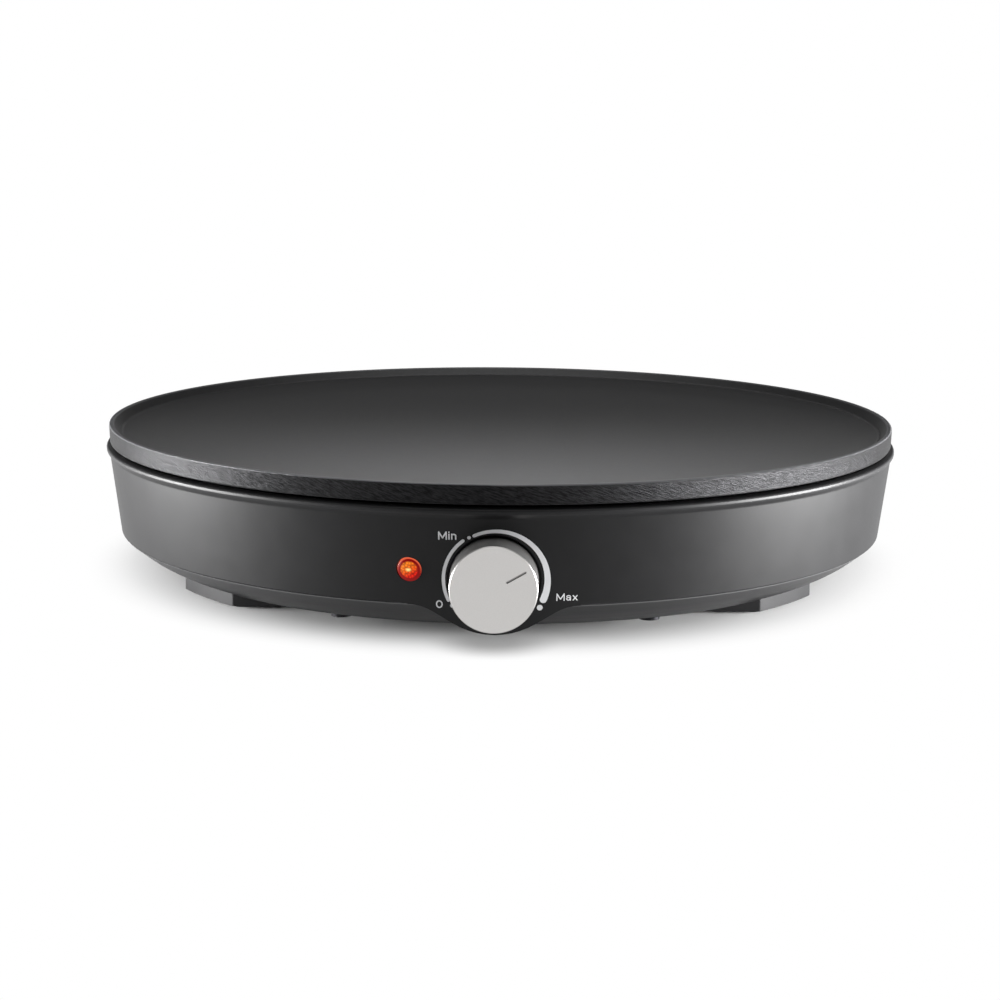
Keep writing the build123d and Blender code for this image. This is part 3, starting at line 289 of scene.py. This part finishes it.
def non_stick(name, colour):
    """Non-stick coating sprayed on cast aluminium: near black, matt, and coarse on the edge."""
    material, tree, shader, place = blank(name, {"Specular IOR Level": 0.5})
    # The coating's orange peel, drawn at 3 mm, and its fine grit, drawn at 0.5 mm.
    peel = noise(tree, place, 3.0, 4.0)
    grit = noise(tree, place, 0.5, 2.0)

    # The edge's slanting streaks, 0.5 mm high and 3 mm long: way round the axis against height.
    here = put(tree, "SeparateXYZ", {0: place}).outputs
    ahead = reckon(tree, "SUBTRACT", AXIS_Y, here["Y"])
    angle = reckon(tree, "ARCTAN2", here["X"], ahead)
    along = reckon(tree, "MULTIPLY", angle, PLATE_R)
    rise = reckon(tree, "MULTIPLY_ADD", along, 0.35, here["Z"])
    laid = put(tree, "CombineXYZ", {"X": along, "Y": rise}).outputs[0]
    long = put(tree, "Mapping", {"Vector": laid, "Scale": (0.15, 1.0, 1.0)}).outputs[0]
    streak = put(tree, "TexNoise", {"Vector": long, "Scale": grains(0.5), "Detail": 3.0,
                                    "Roughness": 0.7}, noise_dimensions="2D").outputs["Fac"]

    # The edge is told by its steep faces, and is bumped deeper.
    facing = put(tree, "NewGeometry").outputs["Normal"]
    upward = reckon(tree, "ABSOLUTE", put(tree, "SeparateXYZ", {0: facing}).outputs["Z"])
    edge = ramp(tree, upward, 0.75, 0.35)
    height = put(tree, "Mix", {"Factor": edge, "A": grit, "B": streak},
                 data_type="FLOAT").outputs[0]
    depth = ramp(tree, edge, low=0.05, high=0.5)
    flat = scaled(tree, colour[:3], ramp(tree, peel, 0.3, 0.7, 0.9, 1.12))
    rough = scaled(tree, linear("#242425")[:3], ramp(tree, streak, 0.35, 0.65, 0.5, 1.5))
    coat = blend(tree, edge, flat, rough)

    # The rim's top and its corners are painted paler: a painted highlight where the edge catches
    # the light.
    crown = ramp(tree, here["Z"], plate_high.z - 0.45 * MM, plate_high.z - 0.2 * MM)
    corner = ramp(tree, upward, 0.95, 0.7)
    painted_highlight = blend(tree, corner, linear("#4e4e51")[:3], linear("#606062")[:3])
    feed(tree, shader, {
        "Base Color": blend(tree, crown, coat, painted_highlight),
        "Metallic": edge,
        "Roughness": ramp(tree, edge, low=0.5, high=0.46),
        "Normal": bumped(tree, height, depth, 0.6)})
    return material


def anodised(name, colour):
    """Anodised aluminium cap: pale and satin on its face, with painted shade on its side and in its
    groove.
    """
    material, tree, shader, place = blank(name, {"Metallic": 0.92})
    # Painted shade: the side is darkened as it turns away from the front.
    normal = put(tree, "NewGeometry").outputs["Normal"]
    ahead = reckon(tree, "ABSOLUTE", put(tree, "SeparateXYZ", {0: normal}).outputs["Y"])
    side = ramp(tree, ahead, 0.5, 0.95, 0.4, 1.0)

    # The pointer's groove, behind the face yet well inside the rim, is darkened: painted shade.
    here = put(tree, "SeparateXYZ", {0: place}).outputs
    deep = ramp(tree, here["Y"], knob_low.y + 0.2 * MM, knob_low.y + 0.5 * MM)
    up = reckon(tree, "SUBTRACT", here["Z"], KNOB_Z)
    flat = put(tree, "CombineXYZ", {"X": here["X"], "Y": up}).outputs[0]
    inside = reckon(tree, "LESS_THAN", reckon_vector(tree, "LENGTH", flat), 13.0 * MM)
    groove = reckon(tree, "MULTIPLY", deep, inside)
    painted_shade = reckon(tree, "MULTIPLY", side, ramp(tree, groove, low=1.0, high=0.6))

    # Flakes of 0.03 mm, drawn at 0.3 mm.
    flakes = noise(tree, place, 0.3, 2.0)
    shade = reckon(tree, "MULTIPLY", ramp(tree, flakes, 0.3, 0.7, 0.97, 1.03), painted_shade)
    feed(tree, shader, {
        "Base Color": scaled(tree, colour[:3], shade),
        "Roughness": ramp(tree, flakes, low=0.34, high=0.42),
        "Normal": bumped(tree, flakes, 0.04, 0.05)})
    return material


def moulded(name, colour, roughness, mottle=0.06, grain=0.5, specular=0.5):
    """Plain moulded plastic, resin, rubber or fired clay: one colour, clouded and grained."""
    material, tree, shader, place = blank(name, {"Specular IOR Level": specular})
    cloud = noise(tree, place, 4.0, 4.0)
    shade = ramp(tree, cloud, 0.3, 0.7, 1 - mottle, 1 + mottle)
    feed(tree, shader, {
        "Base Color": scaled(tree, colour[:3], shade),
        "Roughness": ramp(tree, cloud, low=roughness - 0.06, high=roughness + 0.06),
        "Normal": bumped(tree, noise(tree, place, grain, 2.0), 0.12, 0.05)})
    return material


def worked_metal(name, code, tint_code, roughness, along=(1.0, 1.0, 0.12)):
    """Drawn, rolled or turned metal: fine lines the way it was worked, with a thin uneven tint."""
    material, tree, shader, place = blank(name, {"Metallic": 1.0})
    lined = put(tree, "Mapping", {"Vector": place, "Scale": along}).outputs[0]
    lines = noise(tree, lined, 0.35, 3.0)
    blush = ramp(tree, noise(tree, place, 7.0, 4.0), 0.4, 0.65)
    feed(tree, shader, {
        "Base Color": blend(tree, blush, linear(code)[:3], linear(tint_code)[:3]),
        "Roughness": ramp(tree, lines, low=roughness - 0.1, high=roughness + 0.1),
        "Normal": bumped(tree, lines, 0.15, 0.03)})
    return material


def woven_sleeve(name, colour):
    """Braided glass-fibre sleeving: off-white, dull, with threads 0.6 mm wide that cross.

    A wave of scale 1 repeats every 2 pi / 20; at the scale here that is 1.2 mm, a thread and
    its gap.
    """
    material, tree, shader, place = blank(name, {"Roughness": 0.8})
    threads = []
    for slant in (0.8, -0.8):
        turned = put(tree, "Mapping", {"Vector": place, "Rotation": (0.0, 0.0, slant)}).outputs[0]
        wave = put(tree, "TexWave", {"Vector": turned, "Scale": grains(0.6) / 6.28,
                                     "Distortion": 0.4})
        threads.append(wave.outputs["Fac"])
    over = reckon(tree, "MAXIMUM", *threads)
    feed(tree, shader, {
        "Base Color": scaled(tree, colour[:3], ramp(tree, over, low=0.7, high=1.0)),
        "Normal": bumped(tree, over, 0.5, 0.1)})
    return material


def neon_tube(name):
    """Soda glass of a small neon lamp: clear, faintly orange inside where the gas glows."""
    material, tree, shader, place = blank(name, {"Roughness": 0.04, "IOR": 1.5,
                                                 "Transmission Weight": 0.85})
    swirl = noise(tree, place, 1.5, 2.0)
    feed(tree, shader, {"Base Color": blend(tree, swirl, linear("#f4d9c0")[:3],
                                            linear("#ffc48a")[:3])})
    return material


def make_finishes(finish):
    """Every finish, under its slot in the record; the base screws' black one has its own name."""
    made = {
        "plate_coating": non_stick("non_stick_on_cast_aluminium", finish.coating),
        # The casing's lip and the base's parting edge get a painted highlight: a paler skin above
        # the height given.
        "casing_plastic": anthracite("anthracite_flake_ABS", finish.casing, roughness=0.44,
                                     sparkle=0.35, highlight_z=WALL_TOP_Z + 1.0 * MM,
                                     highlight_code="#1e1e1f"),
        "knob_silver": anodised("anodised_aluminium", finish.knob),
        "neon_glass": neon_tube("soda_glass_neon"),
        "fuse_sleeve": woven_sleeve("braided_glass_sleeve", linear("#dddad0")),
    }
    for slot, name in (("pan_plastic", "anthracite_ABS_base"),
                       ("foot_plastic", "anthracite_ABS_feet")):
        made[slot] = anthracite(name, finish.pan, roughness=0.4, sparkle=0.2,
                                highlight_z=CREASE_Z - 0.5 * MM, highlight_code="#5a5a5b")
    # Each moulded finish: its roughness, then where it matters its mottle, grain and gloss.
    for slot, name, code, *rest in (
            ("pad_rubber", "black_silicone_rubber", "#1b1b1c", 0.75, 0.1, 0.4, 0.3),
            ("knob_core", "black_ABS", "#1e1e1f", 0.5),
            ("ceramic_white", "fired_steatite", "#e2dccb", 0.6, 0.05, 0.3),
            ("switch_resin", "brown_phenolic", "#4a3426", 0.45, 0.12, 0.6),
            ("holder_plastic", "white_polyamide", "#dcdad2", 0.45, 0.04),
            ("gland_plastic", "black_polyamide", "#202021", 0.5, 0.08),
            ("wire_brown", "brown_silicone_insulation", "#5a3a22", 0.5, 0.05, 0.4),
            ("wire_blue", "blue_silicone_insulation", "#2b5ea8", 0.5, 0.05, 0.4),
            ("wire_green", "green_silicone_insulation", "#4d9440", 0.5, 0.05, 0.4),
            ("wire_white", "white_silicone_insulation", "#dddbd4", 0.5, 0.05, 0.4)):
        made[slot] = moulded(name, linear(code), *rest)
    # Each metal: its colour, its tint, its roughness and, for the sheets, the way of its lines.
    for slot, name, *rest in (
            ("spring_steel", "spring_steel_strip", "#a9aaae", "#8f8d8c", 0.35),
            ("element_steel", "annealed_steel_sheath", "#7d756c", "#5c4f5a", 0.45),
            ("shield_steel", "aluminised_steel_sheet", "#bcbdbf", "#a5a6a8", 0.4,
             (1.0, 0.12, 1.0)),
            ("screw_steel", "zinc_plated_steel", "#c2c4c6", "#b3b09f", 0.25),
            # The base screws are darkened so that their heads sink into the shade under the pan:
            # painted shade.
            ("black_screw", "black_oxide_steel", "#2a2a2c", "#232325", 0.45),
            ("post_steel", "drawn_steel_tube", "#b0b1b3", "#9c9a97", 0.35),
            ("brass_plain", "turned_brass", "#d8b45c", "#b98d3d", 0.3),
            ("copper_tube", "drawn_copper", "#c9805a", "#a65f42", 0.35)):
        made[slot] = worked_metal(name, *rest)
    return made


FINISH_OF = {
    "plate_coating": ("griddle_plate",),
    "casing_plastic": ("casing",),
    "pan_plastic": ("base_pan",),
    "foot_plastic": ("foot_front_left", "foot_front_right", "foot_rear_left", "foot_rear_right"),
    "pad_rubber": ("pad_front_left", "pad_front_right", "pad_rear_left", "pad_rear_right"),
    "knob_silver": ("knob_cap",),
    "knob_core": ("knob_insert",),
    "spring_steel": ("knob_clip", "element_clips", "sensor_clip", "fuse_clip"),
    "element_steel": ("heating_element",),
    "shield_steel": ("heat_shield", "thermostat_bracket"),
    "screw_steel": ("thermostat_spindle", "element_terminals", "clip_screws", "plate_screws",
                    "foot_screws", "thermostat_screws", "terminal_screws", "block_screws",
                    "earth_screw"),
    "black_screw": ("base_screws",),
    "post_steel": ("support_posts",),
    "ceramic_white": ("post_insulators", "terminal_block"),
    "brass_plain": ("thermostat_terminals", "terminal_inserts", "earth_tag"),
    "copper_tube": ("thermostat_sensor",),
    "switch_resin": ("thermostat_body",),
    "holder_plastic": ("lamp_holder",),
    "neon_glass": ("neon_lamp",),
    "gland_plastic": ("cable_gland",),
    "fuse_sleeve": ("thermal_fuse",),
    "wire_brown": ("lead_live",),
    "wire_blue": ("lead_neutral",),
    "wire_green": ("lead_earth",),
    "wire_white": ("lead_switched", "lead_fused", "lamp_leads"),
}


# ------------------------------------------------------------------------ meshes
def piece_from(name, points, faces, material, smooth=True):
    """Make an object at the origin from points in metres, one material and flat or smooth faces."""
    mesh = bpy.data.meshes.new(name)
    mesh.from_pydata(points.tolist(), [], [list(face) for face in faces])
    mesh.polygons.foreach_set("use_smooth", np.full(len(mesh.polygons), smooth))
    mesh.materials.append(material)
    mesh.update()
    made = bpy.data.objects.new(name, mesh)
    bpy.context.scene.collection.objects.link(made)
    return made


def tube_faces(rings, around, start=0):
    """Quads between rings of points that close round, with a face over each end."""
    i, j = np.meshgrid(np.arange(rings - 1), np.arange(around), indexing="ij")
    a, b = start + i * around + j, start + i * around + (j + 1) % around
    quads = np.stack([a, b, b + around, a + around], -1).reshape(-1, 4)
    first = start + np.arange(around)[::-1]
    last = start + (rings - 1) * around + np.arange(around)
    return [*quads.tolist(), first.tolist(), last.tolist()]


def on_wall(across, up, off):
    """Carry front-view points to the casing: the wall is a cone about the plate's axis.

    Its radius grows straight from CREASE_R at CREASE_Z to WALL_TOP_R at WALL_TOP_Z; a point
    lies where a line along Y from the front meets it, and off moves it outwards.
    """
    radius = CREASE_R + WALL_LEAN * (up - CREASE_Z) + off
    return np.stack([across, AXIS_Y - np.sqrt(radius ** 2 - across ** 2), up], -1)


def mark(path, widths, thick):
    """Points and faces of one printed stroke: a flat band with round ends that lies on the wall.

    The band follows the path; its half width is widths / 2, and at both ends it shrinks as
    the cosine while the middle goes on by the sine, which makes a half round. That stops at
    84 degrees, so that the last ring keeps a width.
    """
    steps = 5
    run = np.gradient(path, axis=0)
    run /= np.linalg.norm(run, axis=1)[:, None]
    bend = np.linspace(0.1, 1.0, steps + 1)[1:] * math.radians(84)
    start = path[0] - run[0] * (np.sin(bend[::-1]) * widths[0] / 2)[:, None]
    end = path[-1] + run[-1] * (np.sin(bend) * widths[-1] / 2)[:, None]
    middle = np.concatenate([start, path, end])
    half = np.concatenate([np.cos(bend[::-1]) * widths[0], widths, np.cos(bend) * widths[-1]]) / 2
    way = np.concatenate([np.repeat(run[:1], steps, 0), run, np.repeat(run[-1:], steps, 0)])
    side = np.stack([-way[:, 1], way[:, 0]], -1) * half[:, None]
    corners = [(1, thick), (-1, thick), (-1, -thick), (1, -thick)]
    rings = [on_wall(*(middle + side * hand).T, off) for hand, off in corners]
    points = np.stack(rings, 1).reshape(-1, 3)
    return points, tube_faces(len(middle), len(corners))


def arc(middle, radius, begin, finish, count=40):
    """Points on a circle between two angles, clockwise from the top."""
    turned = np.linspace(begin, finish, count)
    return np.stack([middle[0] + radius * np.sin(turned), middle[1] + radius * np.cos(turned)], -1)


def line(*ends):
    """A straight run through the ends given, with 6 points to each length."""
    ends = np.array(ends, float)
    steps = np.linspace(0, 1, 6)[:, None]
    return np.concatenate([a + (b - a) * steps for a, b in zip(ends[:-1], ends[1:])])


def letter_strokes():
    """Strokes of the dial's letters in units of the capital height, with each letter's width."""
    pi = math.pi
    return {
        "M": (0.86, [line((0.05, 0), (0.05, 1)), line((0.05, 1), (0.43, 0.18)),
                     line((0.43, 0.18), (0.81, 1)), line((0.81, 1), (0.81, 0))]),
        "i": (0.12, [line((0.06, 0), (0.06, 0.7)), line((0.06, 0.97), (0.06, 0.99))]),
        "n": (0.5, [line((0.05, 0), (0.05, 0.7)), arc((0.25, 0.48), 0.2, -pi / 2, pi / 2),
                    line((0.45, 0.48), (0.45, 0))]),
        "a": (0.52, [arc((0.23, 0.3), 0.18, 0, 2 * pi) * (1, 1.1) - (0, 0.11),
                     arc((0.25, 0.5), 0.2, -1.2, pi / 2), line((0.45, 0.5), (0.45, 0))]),
        "x": (0.52, [line((0.04, 0), (0.46, 0.68)), line((0.04, 0.68), (0.46, 0))]),
        "0": (0.68, [arc((0.33, 0.5), 0.28, 0, 2 * pi) * (1, 1.6) - (0, 0.3)]),
    }


def word(text, height, stretch, gap=0.17):
    """The strokes of a word that starts at the origin, from its capital height and widening."""
    drawn, pen = [], 0.0
    strokes = letter_strokes()
    for letter in text:
        width, parts = strokes[letter]
        drawn += [(part + (pen, 0)) * (height * stretch, height) for part in parts]
        pen += width + gap
    return drawn


# -------------------------------------------------------------------- operators
class CREPE_OT_finishes(bpy.types.Operator):
    """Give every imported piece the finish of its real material"""
    bl_idname = "crepe_maker.finishes"
    bl_label = "Finishes"

    def execute(self, context):
        made = make_finishes(context.scene.crepe_finish)
        for slot, nodes in FINISH_OF.items():
            for node in nodes:
                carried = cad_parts[node]
                carried.data.materials.clear()
                carried.data.materials.append(made[slot])
        return {"FINISHED"}


class CREPE_OT_dial_print(bpy.types.Operator):
    """Print the heat scale round the knob: two arcs, three dots and their words"""
    bl_idname = "crepe_maker.dial_print"
    bl_label = "Dial print"

    def execute(self, context):
        dial = context.scene.crepe_dial
        ink = moulded("screen_print_ink", dial.ink, 0.5, 0.03, 0.4)
        marks = [*self.arcs(dial), *self.dots(dial), *self.words(dial)]
        points, faces, count = [], [], 0
        for path, width in marks:
            some, quads = mark(path, width, dial.proud)
            points.append(some)
            faces += [[corner + count for corner in quad] for quad in quads]
            count += len(some)
        made = piece_from("dial_print", np.concatenate(points), faces, ink, smooth=False)
        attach(made, "base")
        return {"FINISHED"}

    def centre(self):
        """The middle of the arcs and the dots, in the front view."""
        return np.array((DIAL_ASIDE * MM, KNOB_Z + DIAL_UP * MM))

    def arcs(self, dial):
        """Each arc's path and widths: it widens and grows outwards as the share ** 1.5."""
        for begin, finish, widens, low, grown, aside in ARCS:
            share = np.linspace(0, 1, 60)
            turned = np.radians(begin + (finish - begin) * share)
            growth = share ** 1.5
            wide = dial.arc_wide if widens else dial.arc_thin
            width = dial.arc_thin + (wide - dial.arc_thin) * growth
            reach = dial.arc_outer + low * MM + grown * MM * growth - width / 2
            path = np.stack([np.sin(turned) * reach - aside * MM, np.cos(turned) * reach], -1)
            yield path + self.centre(), width

    def dots(self, dial):
        """Each dot's path and widths: a stroke of next to no length, which is its round ends."""
        least = 0.001
        for setting, size, out in DOTS:
            angle = getattr(dial, setting)
            yield (arc(self.centre(), dial.dot_circle + out * MM, angle - least, angle + least, 2),
                   np.full(2, size * MM))

    def words(self, dial):
        """Each stroke's path and widths; a smaller word is drawn wider, by (2 - share) ** 0.5."""
        for text, left, foot, share, bold, tilt in WORDS:
            a = math.radians(tilt)
            lift = np.array([[math.cos(a), math.sin(a)], [-math.sin(a), math.cos(a)]])
            for path in word(text, dial.cap_height * share, dial.stretch * (2 - share) ** 0.5):
                yield (path @ lift + np.array((left, foot)) * MM,
                       np.full(len(path), dial.stroke * bold))


class CREPE_OT_pilot_lens(bpy.types.Operator):
    """Make the red pilot lens, with the small pyramids that spread its light"""
    bl_idname = "crepe_maker.pilot_lens"
    bl_label = "Pilot lens"

    def execute(self, context):
        lamp = context.scene.crepe_lamp
        middle = (lens_low + lens_high) / 2
        azimuth = math.atan2(middle.x, AXIS_Y - middle.y)
        outward = Vector((math.sin(azimuth), -math.cos(azimuth), 0))
        right = Vector((math.cos(azimuth), math.sin(azimuth), 0))
        centre = Vector((0, AXIS_Y, middle.z))
        face = CREASE_R + WALL_LEAN * (middle.z - CREASE_Z)
        tip = face + LENS_STANDS
        points, faces = self.lens_mesh(lamp, face, tip)
        points = points @ np.array([right, (0, 0, 1), outward]) + np.array(centre)
        glow = self.glowing_lens(lamp, centre + outward * tip, right)
        made = piece_from("pilot_lens", points, faces, glow, smooth=False)
        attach(made, "base")
        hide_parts("lamp_lens")
        return {"FINISHED"}

    def lens_mesh(self, lamp, face, tip):
        """A disc in rings, in lengths to the right, up and outwards from the plate's axis.

        Its reach is the tip's, less the dome's drop times the share of the rim's radius cubed,
        less the grooves of two crossing rows, plus the wall's lean times the height.
        """
        rings, around = 56, 144
        share = np.linspace(0, 1, rings)[1:] ** 0.9
        turned = np.linspace(0, 2 * math.pi, around, endpoint=False)
        radius = share[:, None] * LENS_RIM_R * np.ones(around)
        p, q = radius * np.cos(turned), radius * np.sin(turned)
        saw_p = np.abs((p / lamp.prism_pitch) % 1 - 0.5) * 2
        saw_q = np.abs((q / lamp.prism_pitch) % 1 - 0.5) * 2
        # The grooves end at 0.76 of the rim's radius.
        fade = np.clip((0.76 - share[:, None]) / 0.06, 0, 1)
        groove = lamp.prism_depth * (saw_p + saw_q) / 2 * fade
        reach = tip - LENS_DOME * share[:, None] ** 3 - groove + WALL_LEAN * q
        front = np.stack([p, q, reach], -1).reshape(-1, 3)
        pole = np.array([[0, 0, tip - lamp.prism_depth * 0.9]])

        # Behind the front: the rim's side, the flange and its back.
        flange_r = (lens_high.z - lens_low.z) / 2
        walls = []
        for r, d, lean in ((LENS_RIM_R, face - LENS_SUNK, WALL_LEAN),
                           (LENS_RIM_R, FLANGE_FRONT_R, 0.0), (flange_r, FLANGE_FRONT_R, 0.0),
                           (flange_r, FLANGE_BACK_R, 0.0), (LENS_RIM_R * 0.9, FLANGE_BACK_R, 0.0)):
            walls.append(np.stack([r * np.cos(turned), r * np.sin(turned),
                                   d + lean * r * np.sin(turned)], -1))
        count = rings - 1 + len(walls)
        faces = tube_faces(count, around, 1)[:-2]
        faces += [[0, 1 + j, 1 + (j + 1) % around] for j in range(around)]
        faces.append((1 + (count - 1) * around + np.arange(around)).tolist()[::-1])
        return np.concatenate([pole, front, *walls]), faces

    def glowing_lens(self, lamp, middle, right):
        """Clear red acrylic over a lit neon lamp: deep red rim, orange prisms, yellow hot spot.

        The glow is drawn on the face: across and up are lengths from the lens's middle.
        """
        material, tree, shader, place = blank("red_acrylic_lens", {
            "Roughness": 0.35, "IOR": 1.49, "Base Color": linear("#400402"),
            "Specular IOR Level": 0.15, "Emission Strength": 1.0})
        from_middle = reckon_vector(tree, "SUBTRACT", place, tuple(middle))
        across = reckon_vector(tree, "DOT_PRODUCT", from_middle, tuple(right))
        up = put(tree, "SeparateXYZ", {0: from_middle}).outputs["Z"]
        flat = put(tree, "CombineXYZ", {"X": across, "Y": up}).outputs[0]
        reach = reckon_vector(tree, "LENGTH", flat)

        # Prisms drawn at 1 mm: bright in the middle, dark in the grooves, warmer up left.
        cells = put(tree, "TexVoronoi", {"Vector": flat, "Scale": grains(1.0), "Randomness": 0.5},
                    distance="CHEBYCHEV", voronoi_dimensions="2D").outputs["Distance"]
        glint = ramp(tree, cells, 0.1, 0.6, 1.15, 0.35)
        slant = reckon(tree, "MULTIPLY_ADD", across, -0.6, up)
        warm = ramp(tree, slant, -2.2 * MM, 2.6 * MM)
        lit = scaled(tree, blend(tree, warm, linear("#e01c06")[:3], lamp.glow[:3]), glint)

        # A yellow spot over the lamp, a little left of the middle and wider than it is high.
        offset = reckon_vector(tree, "SUBTRACT", flat, (-0.2 * MM, 0.05 * MM, 0))
        squeezed = reckon_vector(tree, "MULTIPLY", offset, (0.75, 1.2, 1))
        near = ramp(tree, reckon_vector(tree, "LENGTH", squeezed), 0.2 * MM, 0.9 * MM, 1.0, 0.0)
        hot = blend(tree, near, lit, lamp.spot[:3])

        # Outside the prisms a deep red ring, and on the rim a thin line of light along the top.
        ringed = blend(tree, ramp(tree, reach, 2.6 * MM, 3.0 * MM), hot, linear("#7e0000")[:3])
        outer = ramp(tree, reach, 3.55 * MM, 3.75 * MM)
        top = ramp(tree, up, -1.5 * MM, 2.5 * MM, 0.0, 0.8)
        edge = reckon(tree, "MULTIPLY", outer, top)
        feed(tree, shader, {"Emission Color": blend(tree, edge, ringed, linear("#f06c48")[:3])})
        return material


class CREPE_OT_stage(bpy.types.Operator):
    """Set up the floor, the soft lights and the camera"""
    bl_idname = "crepe_maker.stage"
    bl_label = "Stage"

    def execute(self, context):
        stage = context.scene.crepe_stage
        scene = context.scene
        scene.view_settings.view_transform = "Standard"

        # A round sheet of paper, turned up at its edge into a low wall that hides the horizon.
        count = 96
        turned = np.linspace(0, 2 * math.pi, count, endpoint=False)
        circle = np.stack([np.cos(turned), np.sin(turned)], -1) * PAPER_R
        points = np.concatenate([np.c_[circle, np.zeros(count)],
                                 np.c_[circle, np.full(count, PAPER_EDGE)]])
        faces = [list(range(count))]
        faces += [[j, j + count, (j + 1) % count + count, (j + 1) % count] for j in range(count)]
        floor = piece_from("floor", points, faces, self.white_paper(), smooth=False)

        self.soft_light("over_light", (0, AXIS_Y, 1.0), (0.8, 0.8), stage.over_power)
        self.soft_light("front_light", (0, -0.6, 1.1), (1.0, 0.6), stage.front_power)
        self.soft_light("back_light", (0, 0.5, 0.4), (0.8, 0.1), stage.back_power,
                        spread=16, aim=(0, -0.2, 0.05))
        for name, side, share in (("left", -1, 1.0), ("right", 1, 1.55)):
            self.soft_light(name + "_light", (side * 0.75, 0.15, 0.45), (0.5, 0.4),
                            stage.side_power)
            self.soft_light(name + "_strip", (side * 0.36, -0.1 - side * 0.015, 0.03),
                            (0.2, 0.05), stage.strip_power * share)
        self.sky(scene, stage.sky)
        self.camera(scene, stage)
        return {"FINISHED"}

    def white_paper(self):
        """White backing paper: lit near the maker, where it takes the shadow, white beyond."""
        material, tree, shader, place = blank("white_backing_paper", {
            "Roughness": 0.9, "Specular IOR Level": 0.0})
        shade = ramp(tree, noise(tree, place, 2.0, 2.0), low=0.64, high=0.66)
        feed(tree, shader, {
            "Base Color": put(tree, "CombineColor", {0: shade, 1: shade, 2: shade}).outputs[0]})

        # Plain white for what is seen straight, in a mirror or through glass, and only far off.
        path = put(tree, "LightPath").outputs
        seen = reckon(tree, "MAXIMUM", path["Is Camera Ray"], path["Is Glossy Ray"])
        seen = reckon(tree, "MAXIMUM", seen, path["Is Transmission Ray"])
        away = reckon_vector(tree, "DISTANCE", place, (0, AXIS_Y, 0))
        far = ramp(tree, away, WHITE_FROM, WHITE_TO, interpolation_type="SMOOTHSTEP")
        # Under the knob the paper stays in its shadow.
        beside = reckon_vector(tree, "DISTANCE", place, SHADOW_PLACE)
        clear = ramp(tree, beside, SHADOW_FROM, SHADOW_TO, interpolation_type="SMOOTHSTEP")
        share = reckon(tree, "MULTIPLY", seen, reckon(tree, "MULTIPLY", far, clear))
        white = put(tree, "Emission", {"Color": (1, 1, 1, 1), "Strength": 1.0})
        both = put(tree, "MixShader", {0: share, 1: shader.outputs[0], 2: white.outputs[0]})
        out = next(node for node in tree.nodes if node.type == "OUTPUT_MATERIAL")
        tree.links.new(both.outputs[0], out.inputs["Surface"])
        return material

    def soft_light(self, name, place, size, watts, spread=180, aim=(0, AXIS_Y, 0.03)):
        """A rectangular soft box that faces the middle of the maker, or another point."""
        data = bpy.data.lights.new(name, "AREA")
        data.shape = "RECTANGLE"
        data.size, data.size_y = size
        data.energy = watts
        data.spread = math.radians(spread)
        light = bpy.data.objects.new(name, data)
        light.visible_camera = False
        facing = (Vector(aim) - Vector(place)).to_track_quat("-Z", "Y").to_matrix().to_4x4()
        light.matrix_world = Matrix.Translation(place) @ facing
        bpy.context.scene.collection.objects.link(light)

    def sky(self, scene, level):
        """Plain light from all round, shown white where the camera looks past the paper."""
        world = bpy.data.worlds.new("plain_sky")
        world.use_nodes = True
        tree = world.node_tree
        tree.nodes.clear()
        direct = put(tree, "LightPath").outputs["Is Camera Ray"]
        shown = put(tree, "Background", {"Color": (1, 1, 1, 1),
                                         "Strength": ramp(tree, direct, low=level)})
        put(tree, "OutputWorld", {"Surface": shown.outputs[0]})
        scene.world = world

    def camera(self, scene, stage):
        """A camera that looks at the plate's axis from the front, a little from above."""
        data = bpy.data.cameras.new("front_camera")
        data.sensor_width = 36.0
        data.lens = stage.lens
        data.clip_start, data.clip_end = 0.05, 40.0
        view = bpy.data.objects.new("front_camera", data)
        ahead = Vector((-math.sin(stage.swing), math.cos(stage.swing), -math.tan(stage.pitch)))
        facing = ahead.to_track_quat("-Z", "Y").to_matrix().to_4x4()
        place = (stage.distance * math.sin(stage.swing),
                 AXIS_Y - stage.distance * math.cos(stage.swing), stage.camera_height)
        view.matrix_world = (Matrix.Translation(place) @ facing
                             @ Matrix.Rotation(stage.roll, 4, "Z"))
        scene.collection.objects.link(view)
        scene.camera = view


class CREPE_PT_panel(bpy.types.Panel):
    """Lists the crepe maker's settings and steps"""
    bl_idname = "CREPE_PT_panel"
    bl_label = "Crepe Maker"
    bl_space_type = "VIEW_3D"
    bl_region_type = "UI"
    bl_category = "Crepe Maker"

    def draw(self, context):
        for group, step in (("crepe_finish", CREPE_OT_finishes),
                            ("crepe_dial", CREPE_OT_dial_print),
                            ("crepe_lamp", CREPE_OT_pilot_lens),
                            ("crepe_stage", CREPE_OT_stage)):
            box = self.layout.box()
            settings = getattr(context.scene, group)
            for name in settings.__annotations__:
                box.prop(settings, name)
            box.operator(step.bl_idname)


SETTINGS = {
    "crepe_finish": CrepeFinishSettings,
    "crepe_dial": CrepeDialSettings,
    "crepe_lamp": CrepeLampSettings,
    "crepe_stage": CrepeStageSettings,
}
CLASSES = (*SETTINGS.values(), CREPE_OT_finishes, CREPE_OT_dial_print, CREPE_OT_pilot_lens,
           CREPE_OT_stage, CREPE_PT_panel)


def register():
    for made in CLASSES:
        bpy.utils.register_class(made)
    for name, group in SETTINGS.items():
        setattr(bpy.types.Scene, name, PointerProperty(type=group))


def unregister():
    for name in SETTINGS:
        delattr(bpy.types.Scene, name)
    for made in reversed(CLASSES):
        bpy.utils.unregister_class(made)


def main():
    """Register the classes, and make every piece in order."""
    register()
    bpy.ops.crepe_maker.finishes()
    bpy.ops.crepe_maker.dial_print()
    bpy.ops.crepe_maker.pilot_lens()
    bpy.ops.crepe_maker.stage()


if __name__ == "__main__":
    main()
